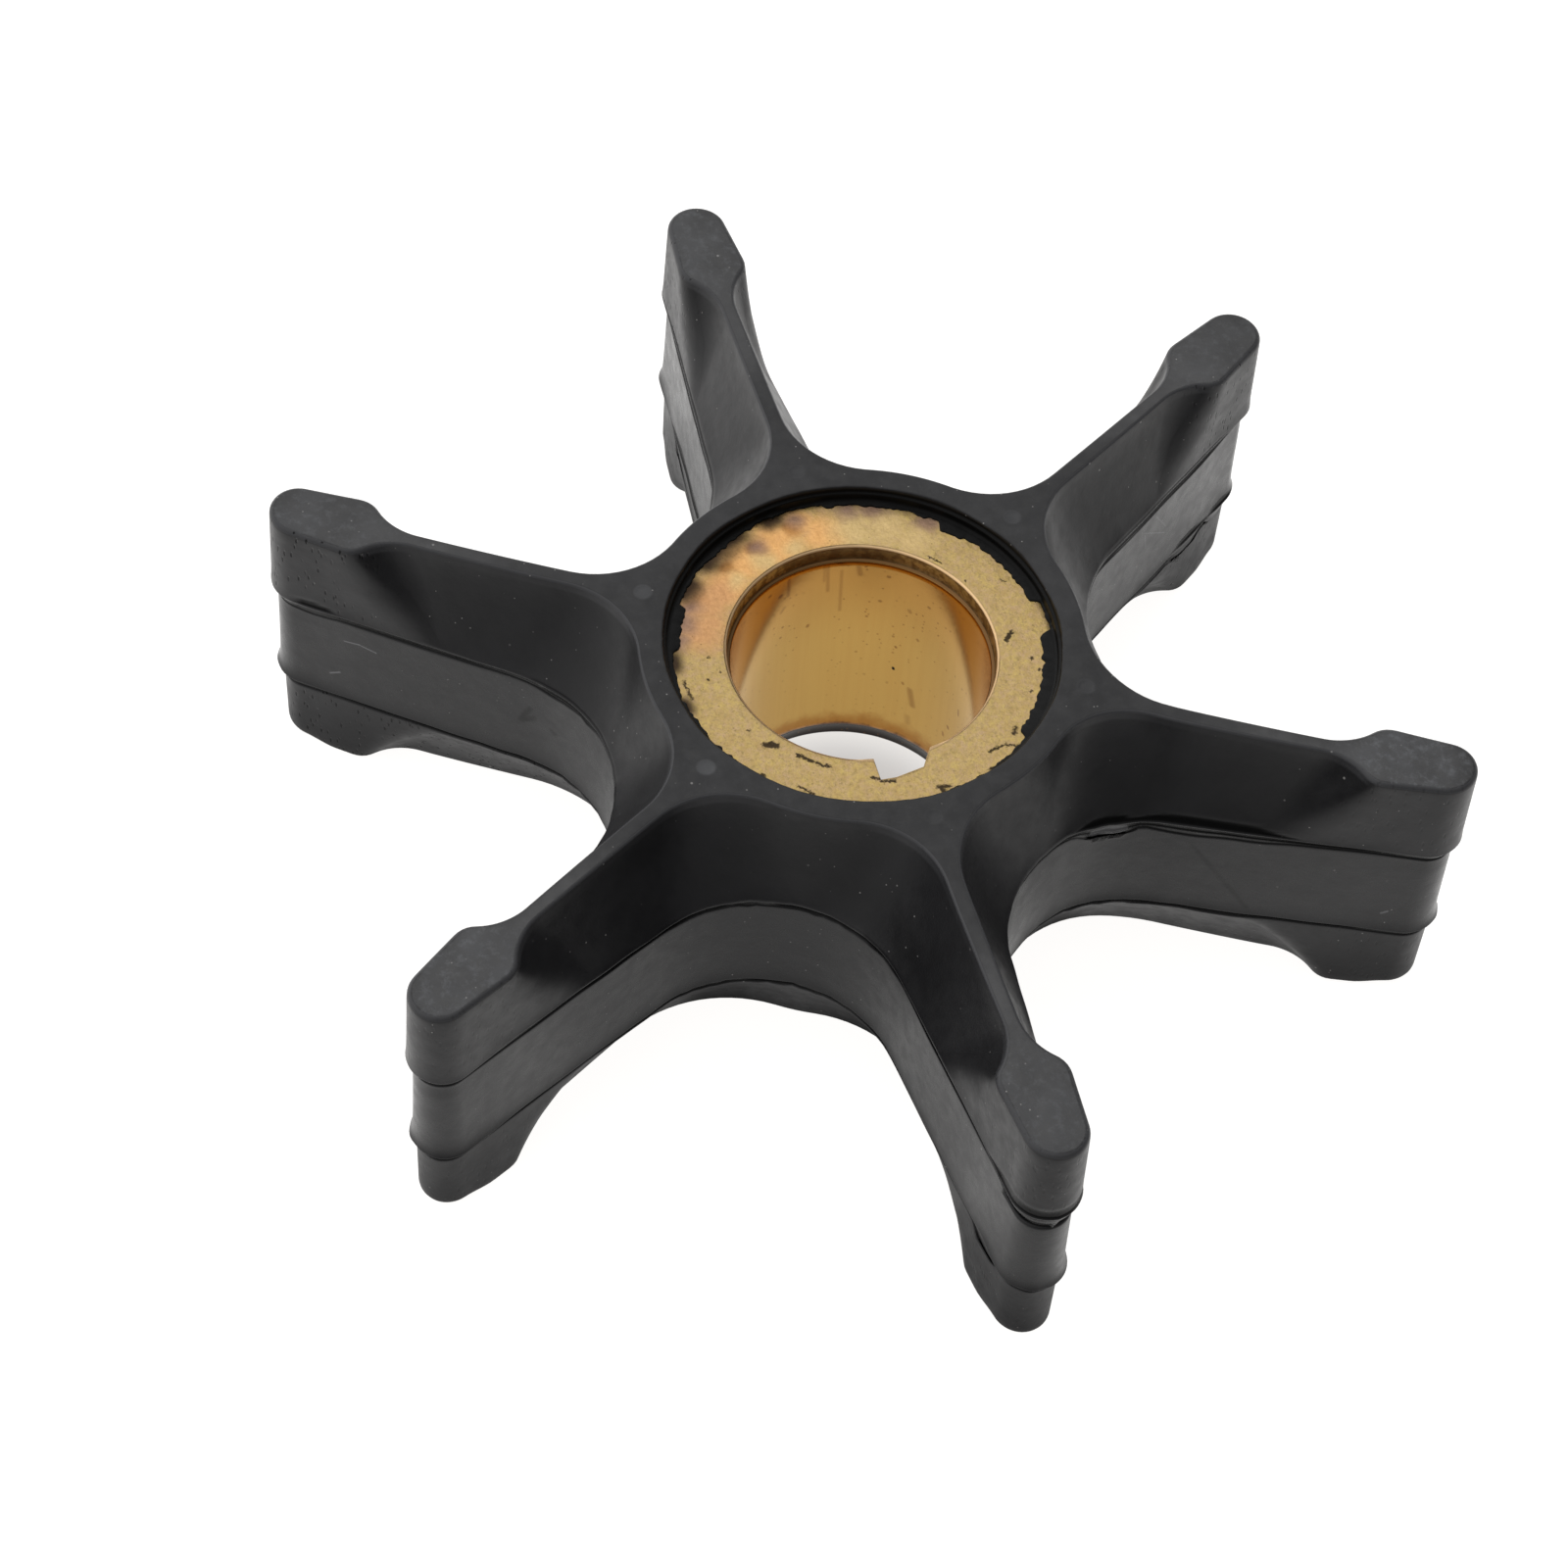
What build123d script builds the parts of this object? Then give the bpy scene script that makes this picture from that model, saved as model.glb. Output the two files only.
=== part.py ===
from build123d import *
import os
from math import atan, cos, hypot, radians, sin, sqrt, tan

# Six-vane flexible pump impeller: one rubber moulding bonded to a keyed brass bushing.
# Millimetres. The bore is on Z, the lower face is at Z = 0 and the keyed vane points along +X.

# Rubber moulding, overall
VANES = 6
TIP_RADIUS = 33.0            # bore axis to the end of a vane
HEIGHT = 18.4                # face to face
END_BAND = 5.6               # each face to its parting line

# Vane and hub as they are in the middle band, between the parting lines
VANE_THICKNESS = 4.04        # across the vane at the shoulder radius
SHOULDER_RADIUS = 28.0       # where the tip bulb of each face begins
VANE_TAPER = 5.1             # degrees that each side of a vane leans in towards the tip
WEB_HUB_RADIUS = 13.8        # bore axis to the bottom of the valley between two vanes
WEB_ROOT_FILLET = 7.4
FULLEST_FILLET = 0.96        # largest root fillet, as a share of the one that fills the valley

# The same places on the two faces, where the scoops are widest
RIB_THICKNESS = 0.9          # thin rib left along the middle of each vane
RIB_TAPER = 0.5              # degrees
RIB_END_RADIUS = 25.2        # where the rib starts to swell into the tip bulb
FACE_HUB_RADIUS = 12.1
FACE_ROOT_FILLET = 4.9
NECK_ANGLE = 50.0            # degrees between the rib and the flank of the tip bulb
NECK_FILLET = 3.0

# Scoops, hollowed from each face down to its parting line
SCOOP_END_RADIUS = 22.0      # where a scoop dies out at the parting line
SCOOP_CURVE = 1.35           # power of its flank: 1 is straight, more is steeper at the face
SCOOP_SHORT = 0.1            # height of the plain wall left above the parting line
SCOOP_DEPTHS = (0.0, 0.3, 0.6, 0.85, 1.0)  # shares of the band at which its section is drawn
CUT_MARGIN = 1.5             # how far a cutter runs past the surface that it cuts

# Flash ridge along each parting line, and the rounded edges of the two faces
RIDGE_WIDTH = 0.25
RIDGE_CREST = 0.05           # what is left of that width at the top of the ridge
RIDGE_HEIGHT = 0.35
FACE_ROUND = 0.2

# Brass bushing
BORE_RADIUS = 7.0
BUSHING_WALL = 3.4
COUNTERBORE_STEP = 0.2       # how much wider the lead-in is than the bore, on the radius
COUNTERBORE_DEPTH = 1.0
BORE_EDGE = 0.25             # chamfer on the rim of each lead-in
KEYWAY_WIDTH = 3.0
KEYWAY_FLOOR = 8.25          # bore axis to the flat floor of the keyway

# How the rubber holds the bushing
UPPER_RECESS_DEPTH = 1.0     # the bushing stops this far inside the upper face
LOWER_RECESS_DEPTH = 0.65    # and this far inside the lower one
RECESS_STEP = 0.2            # recess wall beyond the bushing, on the radius
HOLD_LIP_REACH = 0.45        # thin rubber lip over the rim of the bushing
HOLD_LIP_THICKNESS = 0.15

# Round marks of the mould's pins, one on the root of each vane
PIN_MARK_RADIUS = 12.05      # bore axis to the mark
PIN_MARK_WIDTH = 0.9
PIN_MARK_DEPTH = 0.12

HALF_PITCH = 180.0 / VANES
VANE_HALF = VANE_THICKNESS / 2
VANE_SLOPE = tan(radians(VANE_TAPER))
BUSHING_RADIUS = BORE_RADIUS + BUSHING_WALL
RECESS_RADIUS = BUSHING_RADIUS + RECESS_STEP
BUSHING_HEIGHT = HEIGHT - UPPER_RECESS_DEPTH - LOWER_RECESS_DEPTH
LOWER_LINE = END_BAND
UPPER_LINE = HEIGHT - END_BAND


def gap_point(along, out):
    """Point beside a vane, in a frame where +X runs out through the middle of the gap.

    along is measured from the bore axis down the middle of the vane, out from there into the gap.
    """
    turn = radians(HALF_PITCH)
    return Vector(along * cos(turn) + out * sin(turn), along * sin(turn) - out * cos(turn))


def mirrored(point):
    """The same point beside the other vane of the gap."""
    return Vector(point.X, -point.Y)


def side_offset(half, slope, along):
    """Half thickness of a vane at a radius, from its half thickness at the shoulder radius."""
    return half + slope * (SHOULDER_RADIUS - along)


def root_arc(hub, fillet, half, slope):
    """Start, middle and end of the arc that joins the hub circle to the side of a vane."""
    lean = hypot(1, slope)
    at_axis = side_offset(half, slope, 0)
    wedge = radians(HALF_PITCH) + atan(slope)
    corner = at_axis / (sin(radians(HALF_PITCH)) + slope * cos(radians(HALF_PITCH)))
    full_arc = (hub - corner) / (1 / sin(wedge) - 1)
    fillet = min(fillet, FULLEST_FILLET * full_arc)
    reach = at_axis + fillet * lean
    along = (slope * reach + sqrt(lean ** 2 * (hub + fillet) ** 2 - reach ** 2)) / lean ** 2
    centre = gap_point(along, reach - slope * along)
    start = centre * (hub / (hub + fillet))
    end = gap_point(along - fillet * slope / lean, reach - slope * along - fillet / lean)
    inward = (start - centre).normalized() + (end - centre).normalized()
    middle = centre + inward.normalized() * fillet
    return start, middle, end


def tip_arc(grow):
    """Start, middle and end of half of the round end of a vane, grown outwards by grow."""
    lean = hypot(1, VANE_SLOPE)
    radius = side_offset(VANE_HALF, VANE_SLOPE, TIP_RADIUS) / (lean - VANE_SLOPE)
    centre = TIP_RADIUS - radius
    start_turn = radians(90 - VANE_TAPER)
    radius += grow
    turns = (start_turn, start_turn / 2, 0)
    return [gap_point(centre + radius * cos(turn), radius * sin(turn)) for turn in turns]


def star_face(grow=0.0):
    """Plan of the middle band: hub and six tapered vanes, grown outwards by grow."""
    half = VANE_HALF + grow * hypot(1, VANE_SLOPE)
    start, middle, end = root_arc(WEB_HUB_RADIUS + grow, WEB_ROOT_FILLET - grow, half, VANE_SLOPE)
    tip_start, tip_middle, tip_end = tip_arc(grow)
    valley = ThreePointArc(mirrored(start), (WEB_HUB_RADIUS + grow, 0), start)
    flank = [
        ThreePointArc(start, middle, end),
        Line(end, tip_start),
        ThreePointArc(tip_start, tip_middle, tip_end),
    ]
    gap = [valley, *flank, *[mirror(edge, Plane.XZ) for edge in flank]]
    outline = [
        edge.rotate(Axis.Z, HALF_PITCH + 2 * HALF_PITCH * vane)
        for vane in range(VANES)
        for edge in gap
    ]
    return make_face(outline)


def scoop_section(share):
    """Plan of one scoop: share 0 is its edge on the face, share 1 the wall of the middle band."""
    rib_slope = tan(radians(RIB_TAPER))
    face = (FACE_HUB_RADIUS, FACE_ROOT_FILLET, RIB_THICKNESS / 2, rib_slope, RIB_END_RADIUS)
    web = (WEB_HUB_RADIUS, WEB_ROOT_FILLET, VANE_HALF, VANE_SLOPE, SCOOP_END_RADIUS)
    hub, fillet, half, slope, rib_end = [a + (b - a) * share for a, b in zip(face, web)]
    start, middle, end = root_arc(hub, fillet, half, slope)
    neck = radians(NECK_ANGLE)
    rib_out = side_offset(half, slope, rib_end)
    clear_out = side_offset(VANE_HALF, VANE_SLOPE, rib_end) + CUT_MARGIN
    turn_out = rib_out + NECK_FILLET * (1 - cos(neck))
    turn_along = rib_end + NECK_FILLET * sin(neck)
    run = max(clear_out - turn_out, CUT_MARGIN) / tan(neck)
    rib_tip = gap_point(rib_end, rib_out)
    neck_middle = gap_point(
        rib_end + NECK_FILLET * sin(neck / 2), rib_out + NECK_FILLET * (1 - cos(neck / 2))
    )
    neck_end = gap_point(turn_along, turn_out)
    outer = gap_point(turn_along + run, turn_out + run * tan(neck))
    flank = [
        ThreePointArc(start, middle, end),
        Line(end, rib_tip),
        ThreePointArc(rib_tip, neck_middle, neck_end),
        Line(neck_end, outer),
    ]
    valley = ThreePointArc(mirrored(start), (hub, 0), start)
    closing = Line(outer, mirrored(outer))
    return make_face([valley, *flank, closing, *[mirror(edge, Plane.XZ) for edge in flank]])


def scoop_cutter():
    """One scoop of the upper face, lofted from its edge down to the parting line."""
    sections = [Pos(0, 0, HEIGHT + CUT_MARGIN / 2) * scoop_section(0)]
    for depth in SCOOP_DEPTHS:
        drop = depth * END_BAND
        share = (drop / (END_BAND - SCOOP_SHORT)) ** SCOOP_CURVE
        sections.append(Pos(0, 0, HEIGHT - drop) * scoop_section(share))
    return loft(sections)


def flash_ridge(height):
    """Thin plate whose rim stands out all round the vanes just above a parting line."""
    foot = Pos(0, 0, height) * star_face(RIDGE_WIDTH)
    crest = Pos(0, 0, height + RIDGE_HEIGHT) * star_face(RIDGE_CREST)
    return loft([foot, crest], ruled=True)


def bushing_seat():
    """Space inside the hub: the bushing, the lips that hold it and the recess at each face."""
    lip_radius = BUSHING_RADIUS - HOLD_LIP_REACH
    bushing = Pos(0, 0, LOWER_RECESS_DEPTH) * extrude(Circle(BUSHING_RADIUS), BUSHING_HEIGHT)
    hole = extrude(Circle(lip_radius), HEIGHT)
    lower = extrude(Circle(RECESS_RADIUS), LOWER_RECESS_DEPTH - HOLD_LIP_THICKNESS)
    upper_floor = HEIGHT - UPPER_RECESS_DEPTH + HOLD_LIP_THICKNESS
    upper = Pos(0, 0, upper_floor) * extrude(Circle(RECESS_RADIUS), HEIGHT - upper_floor)
    return bushing + hole + lower + upper


def pin_mark(vane):
    """Shallow round dish in the upper face at the root of one vane."""
    ball = ((PIN_MARK_WIDTH / 2) ** 2 + PIN_MARK_DEPTH ** 2) / (2 * PIN_MARK_DEPTH)
    turned = Rot(0, 0, vane * 2 * HALF_PITCH)
    return turned * Pos(PIN_MARK_RADIUS, 0, HEIGHT + ball - PIN_MARK_DEPTH) * Sphere(ball)


def rubber_impeller():
    """The whole rubber moulding."""
    body = extrude(star_face(), HEIGHT)
    upper_scoop = scoop_cutter()
    lower_scoop = mirror(upper_scoop, Plane.XY.offset(HEIGHT / 2))
    for gap in range(VANES):
        turned = Rot(0, 0, HALF_PITCH + gap * 2 * HALF_PITCH)
        body -= [turned * upper_scoop, turned * lower_scoop]
    rims = body.edges().group_by(Axis.Z)
    body = fillet([*rims[0], *rims[-1]], min(FACE_ROUND, RIB_THICKNESS / 4))
    body += [flash_ridge(LOWER_LINE), flash_ridge(UPPER_LINE)]
    body -= bushing_seat()
    body -= [pin_mark(vane) for vane in range(VANES)]
    return body


def brass_bushing():
    """Turned sleeve with a lead-in at each end and one keyway cut right through."""
    lead_in = BORE_RADIUS + COUNTERBORE_STEP
    top = BUSHING_HEIGHT
    section = Polyline(
        (BUSHING_RADIUS, 0),
        (BUSHING_RADIUS, top),
        (lead_in + BORE_EDGE, top),
        (lead_in, top - BORE_EDGE),
        (lead_in, top - COUNTERBORE_DEPTH),
        (BORE_RADIUS, top - COUNTERBORE_DEPTH),
        (BORE_RADIUS, COUNTERBORE_DEPTH),
        (lead_in, COUNTERBORE_DEPTH),
        (lead_in, BORE_EDGE),
        (lead_in + BORE_EDGE, 0),
        close=True,
    )
    sleeve = revolve(Plane.XZ * make_face(section), Axis.Z)
    keyway = Pos(KEYWAY_FLOOR / 2, 0, top / 2) * Box(KEYWAY_FLOOR, KEYWAY_WIDTH, top)
    return Pos(0, 0, LOWER_RECESS_DEPTH) * (sleeve - keyway)


os.makedirs("parts", exist_ok=True)
export_step(rubber_impeller(), "parts/rubber_impeller.step")
export_step(brass_bushing(), "parts/brass_bushing.step")
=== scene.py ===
import math
import random

import bmesh
import bpy
import numpy as np
from mathutils import Matrix, Vector


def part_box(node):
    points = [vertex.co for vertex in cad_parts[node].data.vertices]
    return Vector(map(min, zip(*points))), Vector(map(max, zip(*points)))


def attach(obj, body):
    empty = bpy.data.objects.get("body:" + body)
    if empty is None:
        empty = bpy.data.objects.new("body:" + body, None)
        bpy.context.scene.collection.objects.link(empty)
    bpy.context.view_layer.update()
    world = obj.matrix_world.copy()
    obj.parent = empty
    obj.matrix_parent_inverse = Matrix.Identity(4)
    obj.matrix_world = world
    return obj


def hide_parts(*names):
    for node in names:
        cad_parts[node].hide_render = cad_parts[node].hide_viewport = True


# A six-vane rubber pump impeller with its brass bushing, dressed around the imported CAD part.
# Lengths are millimetres in the tables and functions below, and metres once a mesh is made.

MM = 0.001

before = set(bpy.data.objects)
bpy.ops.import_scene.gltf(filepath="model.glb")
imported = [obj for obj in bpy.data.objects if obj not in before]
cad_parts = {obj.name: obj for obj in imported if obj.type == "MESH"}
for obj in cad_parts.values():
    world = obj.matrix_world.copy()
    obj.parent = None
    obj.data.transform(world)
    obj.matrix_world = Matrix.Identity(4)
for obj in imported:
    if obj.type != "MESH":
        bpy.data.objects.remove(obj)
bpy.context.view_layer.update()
_, rubber_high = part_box("rubber_impeller")
brass_low, brass_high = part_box("brass_bushing")

# From the frame
HEIGHT = rubber_high.z / MM
BUSHING_RADIUS = brass_high.y / MM
BUSHING_TOP = brass_high.z / MM
BUSHING_FOOT = brass_low.z / MM

# Rubber: vane and hub as in the CAD source
VANES = 6
PITCH = 360.0 / VANES
TIP_RADIUS = 33.0
SHOULDER = 28.0
END_BAND = 5.6
UPPER_LINE = HEIGHT - END_BAND
LOWER_LINE = END_BAND
NECK_RADIUS = 3.44
NECK_ANGLE = math.radians(50)
NECK_REACH = 2.4             # least length along the vane for the samples of the neck
CORNER_REACH = (0.75, 3.2)   # how far the corner of a bulb's shoulder is rounded back, face and line
WEB = dict(half=1.98, slope=0.088, fillet=7.8, hub=13.76, shoulder=24.0)
FACE = dict(half=0.41, slope=0.005, fillet=5.1, hub=12.0, shoulder=27.75)
FOOT = dict(FACE, fillet=8.0)   # the valleys of the foot are a little fuller
NECK_SAMPLES = 200
SCOOP_CURVE = 1.35
SHOULDER_CURVE = 1.2

# How each vane really stands: degrees off its place, and bend at the tip in millimetres
SWAY = (-0.8, -1.825, 0.107, 0.322, 0.238, -0.121)
BEND = (0.423, 0.949, 0.171, -0.082, -0.876, 0.383)
BEND_FROM = 13               # radius from which a vane bends
BEND_REACH = 20              # and the length over which it reaches the bend above
HUB_HOLD = (10.5, 17.5)      # the hub holds everything within the first radius, nothing past the second
VALLEY_HOLD = 12             # degrees beside the middle of a gap over which the hold lets go

# Samples along half an outline, from the tip to the bottom of the valley
TIP_STEPS, FLANK_STEPS, CORNER_STEPS, NECK_STEPS, RIB_STEPS, ROOT_STEPS = 11, 9, 5, 11, 11, 17


def smooth(low, high, value):
    """0 below low, 1 above high and an even ramp between them."""
    t = np.clip((np.asarray(value, float) - low) / (high - low), 0, 1)
    return t * t * (3 - 2 * t)


def ripple(angles, seed, waves, reach):
    """Uneven periodic line round the axis: a sum of sines with amplitude reach or so."""
    rng = random.Random(seed)
    total = np.zeros_like(angles, dtype=float)
    for _ in range(12):
        count = rng.randint(*waves)
        total += math.sin(rng.uniform(0, 6)) * np.sin(count * angles + rng.uniform(0, 6.28))
    return reach * total / 2.5


def resample(points, count):
    """The same line as count evenly spaced points."""
    points = np.asarray(points, float)
    steps = np.hypot(*np.diff(points, axis=0).T)
    length = np.concatenate([[0], np.cumsum(steps)])
    at = np.linspace(0, length[-1], count)
    return np.stack([np.interp(at, length, points[:, k]) for k in (0, 1)], 1)


def arc(centre, radius, start, end, count=24):
    """Points along an arc, from one angle to another."""
    t = np.linspace(start, end, count)
    return np.stack([centre[0] + radius * np.cos(t), centre[1] + radius * np.sin(t)], 1)


def side(along, half=WEB["half"], slope=WEB["slope"]):
    """Half thickness of a vane at a radius."""
    return half + slope * (SHOULDER - along)


def tip_line():
    """Half of the round end of a vane, from its end to its side."""
    lean = math.hypot(1, WEB["slope"])
    radius = side(TIP_RADIUS) / (lean - WEB["slope"])
    centre = (TIP_RADIUS - radius, 0)
    return arc(centre, radius, 0, math.pi / 2 - math.atan(WEB["slope"]))


SAME_TURN = 0.001            # radians; a fillet that ends nearer the middle of a gap fills it


def root_line(half, slope, fillet, hub):
    """From the side of a vane round the valley to the middle of the gap."""
    lean = math.hypot(1, slope)
    at_axis = half + slope * SHOULDER
    reach = at_axis + fillet * lean
    a, b, c = lean ** 2, -2 * slope * reach, reach ** 2 - (hub + fillet) ** 2
    along = (-b + math.sqrt(b * b - 4 * a * c)) / (2 * a)
    centre = np.array([along, reach - slope * along])
    start = math.atan2(-1, -slope) % (2 * math.pi)
    turn = math.atan2(centre[1], centre[0])
    gap = math.radians(PITCH / 2)
    if turn > gap - SAME_TURN:
        corner = at_axis / (math.sin(gap) + slope * math.cos(gap))
        wedge = gap + math.atan(slope)
        full = (hub - corner) / (1 / math.sin(wedge) - 1)
        middle = corner + full / math.sin(wedge)
        return arc((middle * math.cos(gap), middle * math.sin(gap)), full, start, gap + math.pi)
    fillet_part = arc(centre, fillet, start, turn + math.pi)
    return np.concatenate([fillet_part, arc((0, 0), hub, turn, gap)[1:]])


def neck_line(half, slope, shoulder):
    """From the shoulder of a bulb, in along its neck, to the side of the rib."""
    rise = max(side(shoulder) - side(shoulder, half, slope), 1e-4)
    turn = min(NECK_ANGLE, math.acos(1 - rise / NECK_RADIUS))
    run = max(0.0, (rise - NECK_RADIUS * (1 - math.cos(turn))) / math.sin(turn))
    neck_end = shoulder - run * math.cos(turn) - NECK_RADIUS * math.sin(turn)
    rib_out = side(neck_end, half, slope)
    t = np.linspace(turn, 0, 24)
    bow = np.stack([neck_end + NECK_RADIUS * np.sin(t), rib_out + NECK_RADIUS * (1 - np.cos(t))], 1)
    rib_on = neck_end - max(0.0, NECK_REACH - (shoulder - neck_end))
    ends = (shoulder, side(shoulder)), (rib_on, side(rib_on, half, slope))
    return resample(np.concatenate([ends[:1], bow, ends[1:]]), NECK_SAMPLES)


def half_outline(depth, face=FACE):
    """Half the outline of a vane and its valley, at a depth below the nearer face."""
    q = min(depth / END_BAND, 1.0)
    share = q ** SCOOP_CURVE
    half, slope, fillet, hub = [
        face[k] + (WEB[k] - face[k]) * share for k in ("half", "slope", "fillet", "hub")
    ]
    shoulder = face["shoulder"] + (WEB["shoulder"] - face["shoulder"]) * q ** SHOULDER_CURVE
    neck = neck_line(half, slope, shoulder)
    reach = CORNER_REACH[0] + (CORNER_REACH[1] - CORNER_REACH[0]) * q ** 1.5
    from_corner = np.hypot(*(neck - neck[0]).T)
    reach = min(reach, 0.6 * from_corner[-1])
    neck = neck[from_corner > reach]
    flank_end = np.array([shoulder + reach, side(shoulder + reach)])
    corner = np.array([shoulder, side(shoulder)])
    s = np.linspace(0, 1, CORNER_STEPS + 1)[:, None]
    rounding = (1 - s) ** 2 * flank_end + 2 * s * (1 - s) * corner + s ** 2 * neck[0]
    tip = tip_line()
    root = root_line(half, slope, fillet, hub)
    parts = [
        resample(tip, TIP_STEPS + 1),
        resample([tip[-1], flank_end], FLANK_STEPS + 1)[1:],
        rounding[1:],
        resample(neck, NECK_STEPS + 1)[1:],
        resample([neck[-1], root[0]], RIB_STEPS + 1)[1:],
        resample(root, ROOT_STEPS + 1)[1:],
    ]
    return np.concatenate(parts)


def star_line(depth, face=FACE):
    """The whole outline at a depth below a face, with its outward normals."""
    half = half_outline(depth, face)
    other = half[::-1] * (1, -1)
    vane = np.concatenate([other, half[1:-1]])
    turns = np.radians(PITCH * np.arange(VANES))
    line = []
    for turn in turns:
        c, s = math.cos(turn), math.sin(turn)
        line.append(np.stack([vane[:, 0] * c - vane[:, 1] * s, vane[:, 0] * s + vane[:, 1] * c], 1))
    line = np.concatenate(line)
    along = np.roll(line, -1, 0) - np.roll(line, 1, 0)
    normal = np.stack([along[:, 1], -along[:, 0]], 1)
    return line, normal / np.hypot(*normal.T)[:, None]


# Parting lines: the wall flares to a lip of flash, and is undercut below it
LIP = 0.11                   # how far the lip stands out along the flanks
TIP_LIP = 0.20               # and round the ends of the vanes
UPPER_TIP_LIP = 0.05         # but only this far on the upper line
LIP_FADE = 0.42              # height over which it dies out above the line
WAVE_FADE = 0.8              # and over which the waves of the line do
GROOVE = 0.07                # how far the undercut goes in past the wall
FIN = 0.10                   # second, thinner fin of flash halfway down the undercut
UNDERCUT = 0.36              # height of the undercut in the rows below
UNDERCUT_FADE = 0.5          # height over which the waves of its foot die out
OVERHANG_SLOPE = 1.35        # how much taller it is for each millimetre that the lip stands out
OPEN_CREASE = dict(upper=0.24, lower=0.16)   # and the height that is left open below it
FIN_FROM = dict(upper=-0.4, lower=-0.1)      # the lower, the more of the line has a fin
UNDER_HOLD = 0.5             # height below the lower line before the lower scoops begin
LIP_HOLD = 0.1               # and above the upper line before the upper scoops do
DRAFT = 0.17                 # how much each band swells towards its lip at the ends of the vanes
MIDDLE_SWELL = (-1.0, 0.1)   # swelling of the middle band at its top and bottom, in drafts
LOWER_SWELL = -0.9           # and of the lower band
# Height from the line and the shares of the lip, the groove, the fin and the painted shade of the crease
LIP_ROWS = (
    *((height, None) for height in (1.9, 1.5, 1.2, 0.95, 0.72, 0.55, 0.4, 0.28, 0.18, 0.1, 0.04)),
    (0.0, (1, 0, 0, 0)), (-0.025, (0.9, 0, 0, 0.5)), (-0.05, (0.75, 0.1, 0, 1)), (-0.1, (0.55, 0.3, 0, 1)),
    (-0.15, (0.4, 0.45, 0.3, 1)), (-0.165, (0.35, 0.5, 1, 0.4)), (-0.18, (0.3, 0.5, 0.9, 0.4)),
    (-0.195, (0.25, 0.6, 0.2, 1)), (-0.27, (0.1, 0.85, 0, 1)), (-0.33, (0, 1, 0, 1)), (-0.36, (0, 1, 0, 1)),
    (-0.39, (0, 0.7, 0, 0.5)), (-0.43, (0, 0.2, 0, 0)),
    *((height, (0, 0, 0, 0)) for height in (-0.5, -0.7, -1.1)),
)

# Rounding of the rims of the two faces, along the ribs and round the bulbs
RIM, BULB_RIM = 0.17, 0.32
FOOT_RIM, FOOT_TIP_RIM = 0.3, 0.7
FOOT_RIB_LESS = 0.1          # how much less it is along the ribs of the foot
RIM_STEPS, BAND_STEPS, MIDDLE_STEPS = 6, 11, 7

# Thick or torn flash at single places: vane, side, line, radius, half width, how high the painted
# shade of the pocket over the lip reaches, how far the crease reaches up and down, and how far the lip stands
# out.
# A crease that reaches down more than CLOSED is painted with shade all through, without a fin.
CLOSED = 1.0
FLASH = (
    (1, -1, "upper", 20.0, 3.9, 0.42, 0.0, 0.4, 0.02), (1, -1, "upper", 14.7, 1.3, 0.35, 0.0, 0.85, 0.08),
    (0, -1, "upper", 32.0, 2.3, 0.6, 0.0, 0.5, 0.02), (0, 1, "upper", 32.2, 1.9, 0.6, 0.0, 0.5, 0.02),
    (0, -1, "lower", 29.6, 1.1, 0.0, 0.25, 0.85, 0.02), (4, 1, "upper", 30.2, 0.95, 0.45, 0.0, 0.12, 0.03),
    (4, 1, "upper", 13.5, 4.5, 0.1, 0.0, 0.3, 0.09), (5, -1, "upper", 12.5, 2.0, 0.1, 0.0, 0.3, 0.09),
    (2, -1, "lower", 27.5, 1.3, 0.3, 0.0, 1.5, 0.05), (2, -1, "lower", 30.8, 1.0, 0.35, 0.0, 1.3, 0.05),
    (2, -1, "lower", 24.0, 2.2, 0.0, 0.1, 0.5, 0.03), (2, -1, "upper", 23.0, 7.0, 0.08, 0.0, 0.35, 0.0),
    (3, -1, "upper", 30.5, 2.2, 0.0, 0.1, 0.35, 0.0), (3, 1, "upper", 22.0, 11.0, 0.14, 0.0, 0.5, 0.0),
    (3, 1, "lower", 22.8, 4.2, 0.45, 0.0, 1.5, -0.04),
)
POCKET = 0.07                # how far the wall goes in behind a pocket painted with shade

# Hub: recess at each face and the torn lip of rubber over the rim of the bushing
RECESS_RADIUS = BUSHING_RADIUS + 0.2
HUB_SAMPLES = 720
SEAT_GAP = 0.01
LIP_EDGE = 10.1              # usual inner radius of the torn lip
LIP_FURTHEST = 10.36         # and its largest
# Where more of the lip is left on the upper face: from and to degrees, and its inner radius there
LIP_LEFT = ((41, 82, 9.66), (95, 128, 9.84), (128, 137, 9.6), (-122, -104, 9.7))
LIP_GONE = 10.3              # its radius where hardly any is left, from 82-84 to 93-96 degrees
LIP_BACK = 0.16              # and how much further back it is torn at the left


def vane_frame(points):
    """Number of the vane that each point belongs to, and its place along and across it."""
    turn = np.degrees(np.arctan2(points[:, 1], points[:, 0]))
    vane = np.round(turn / PITCH).astype(int) % VANES
    turns = np.radians(PITCH * vane)
    along = points[:, 0] * np.cos(turns) + points[:, 1] * np.sin(turns)
    across = -points[:, 0] * np.sin(turns) + points[:, 1] * np.cos(turns)
    return vane, along, across


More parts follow.
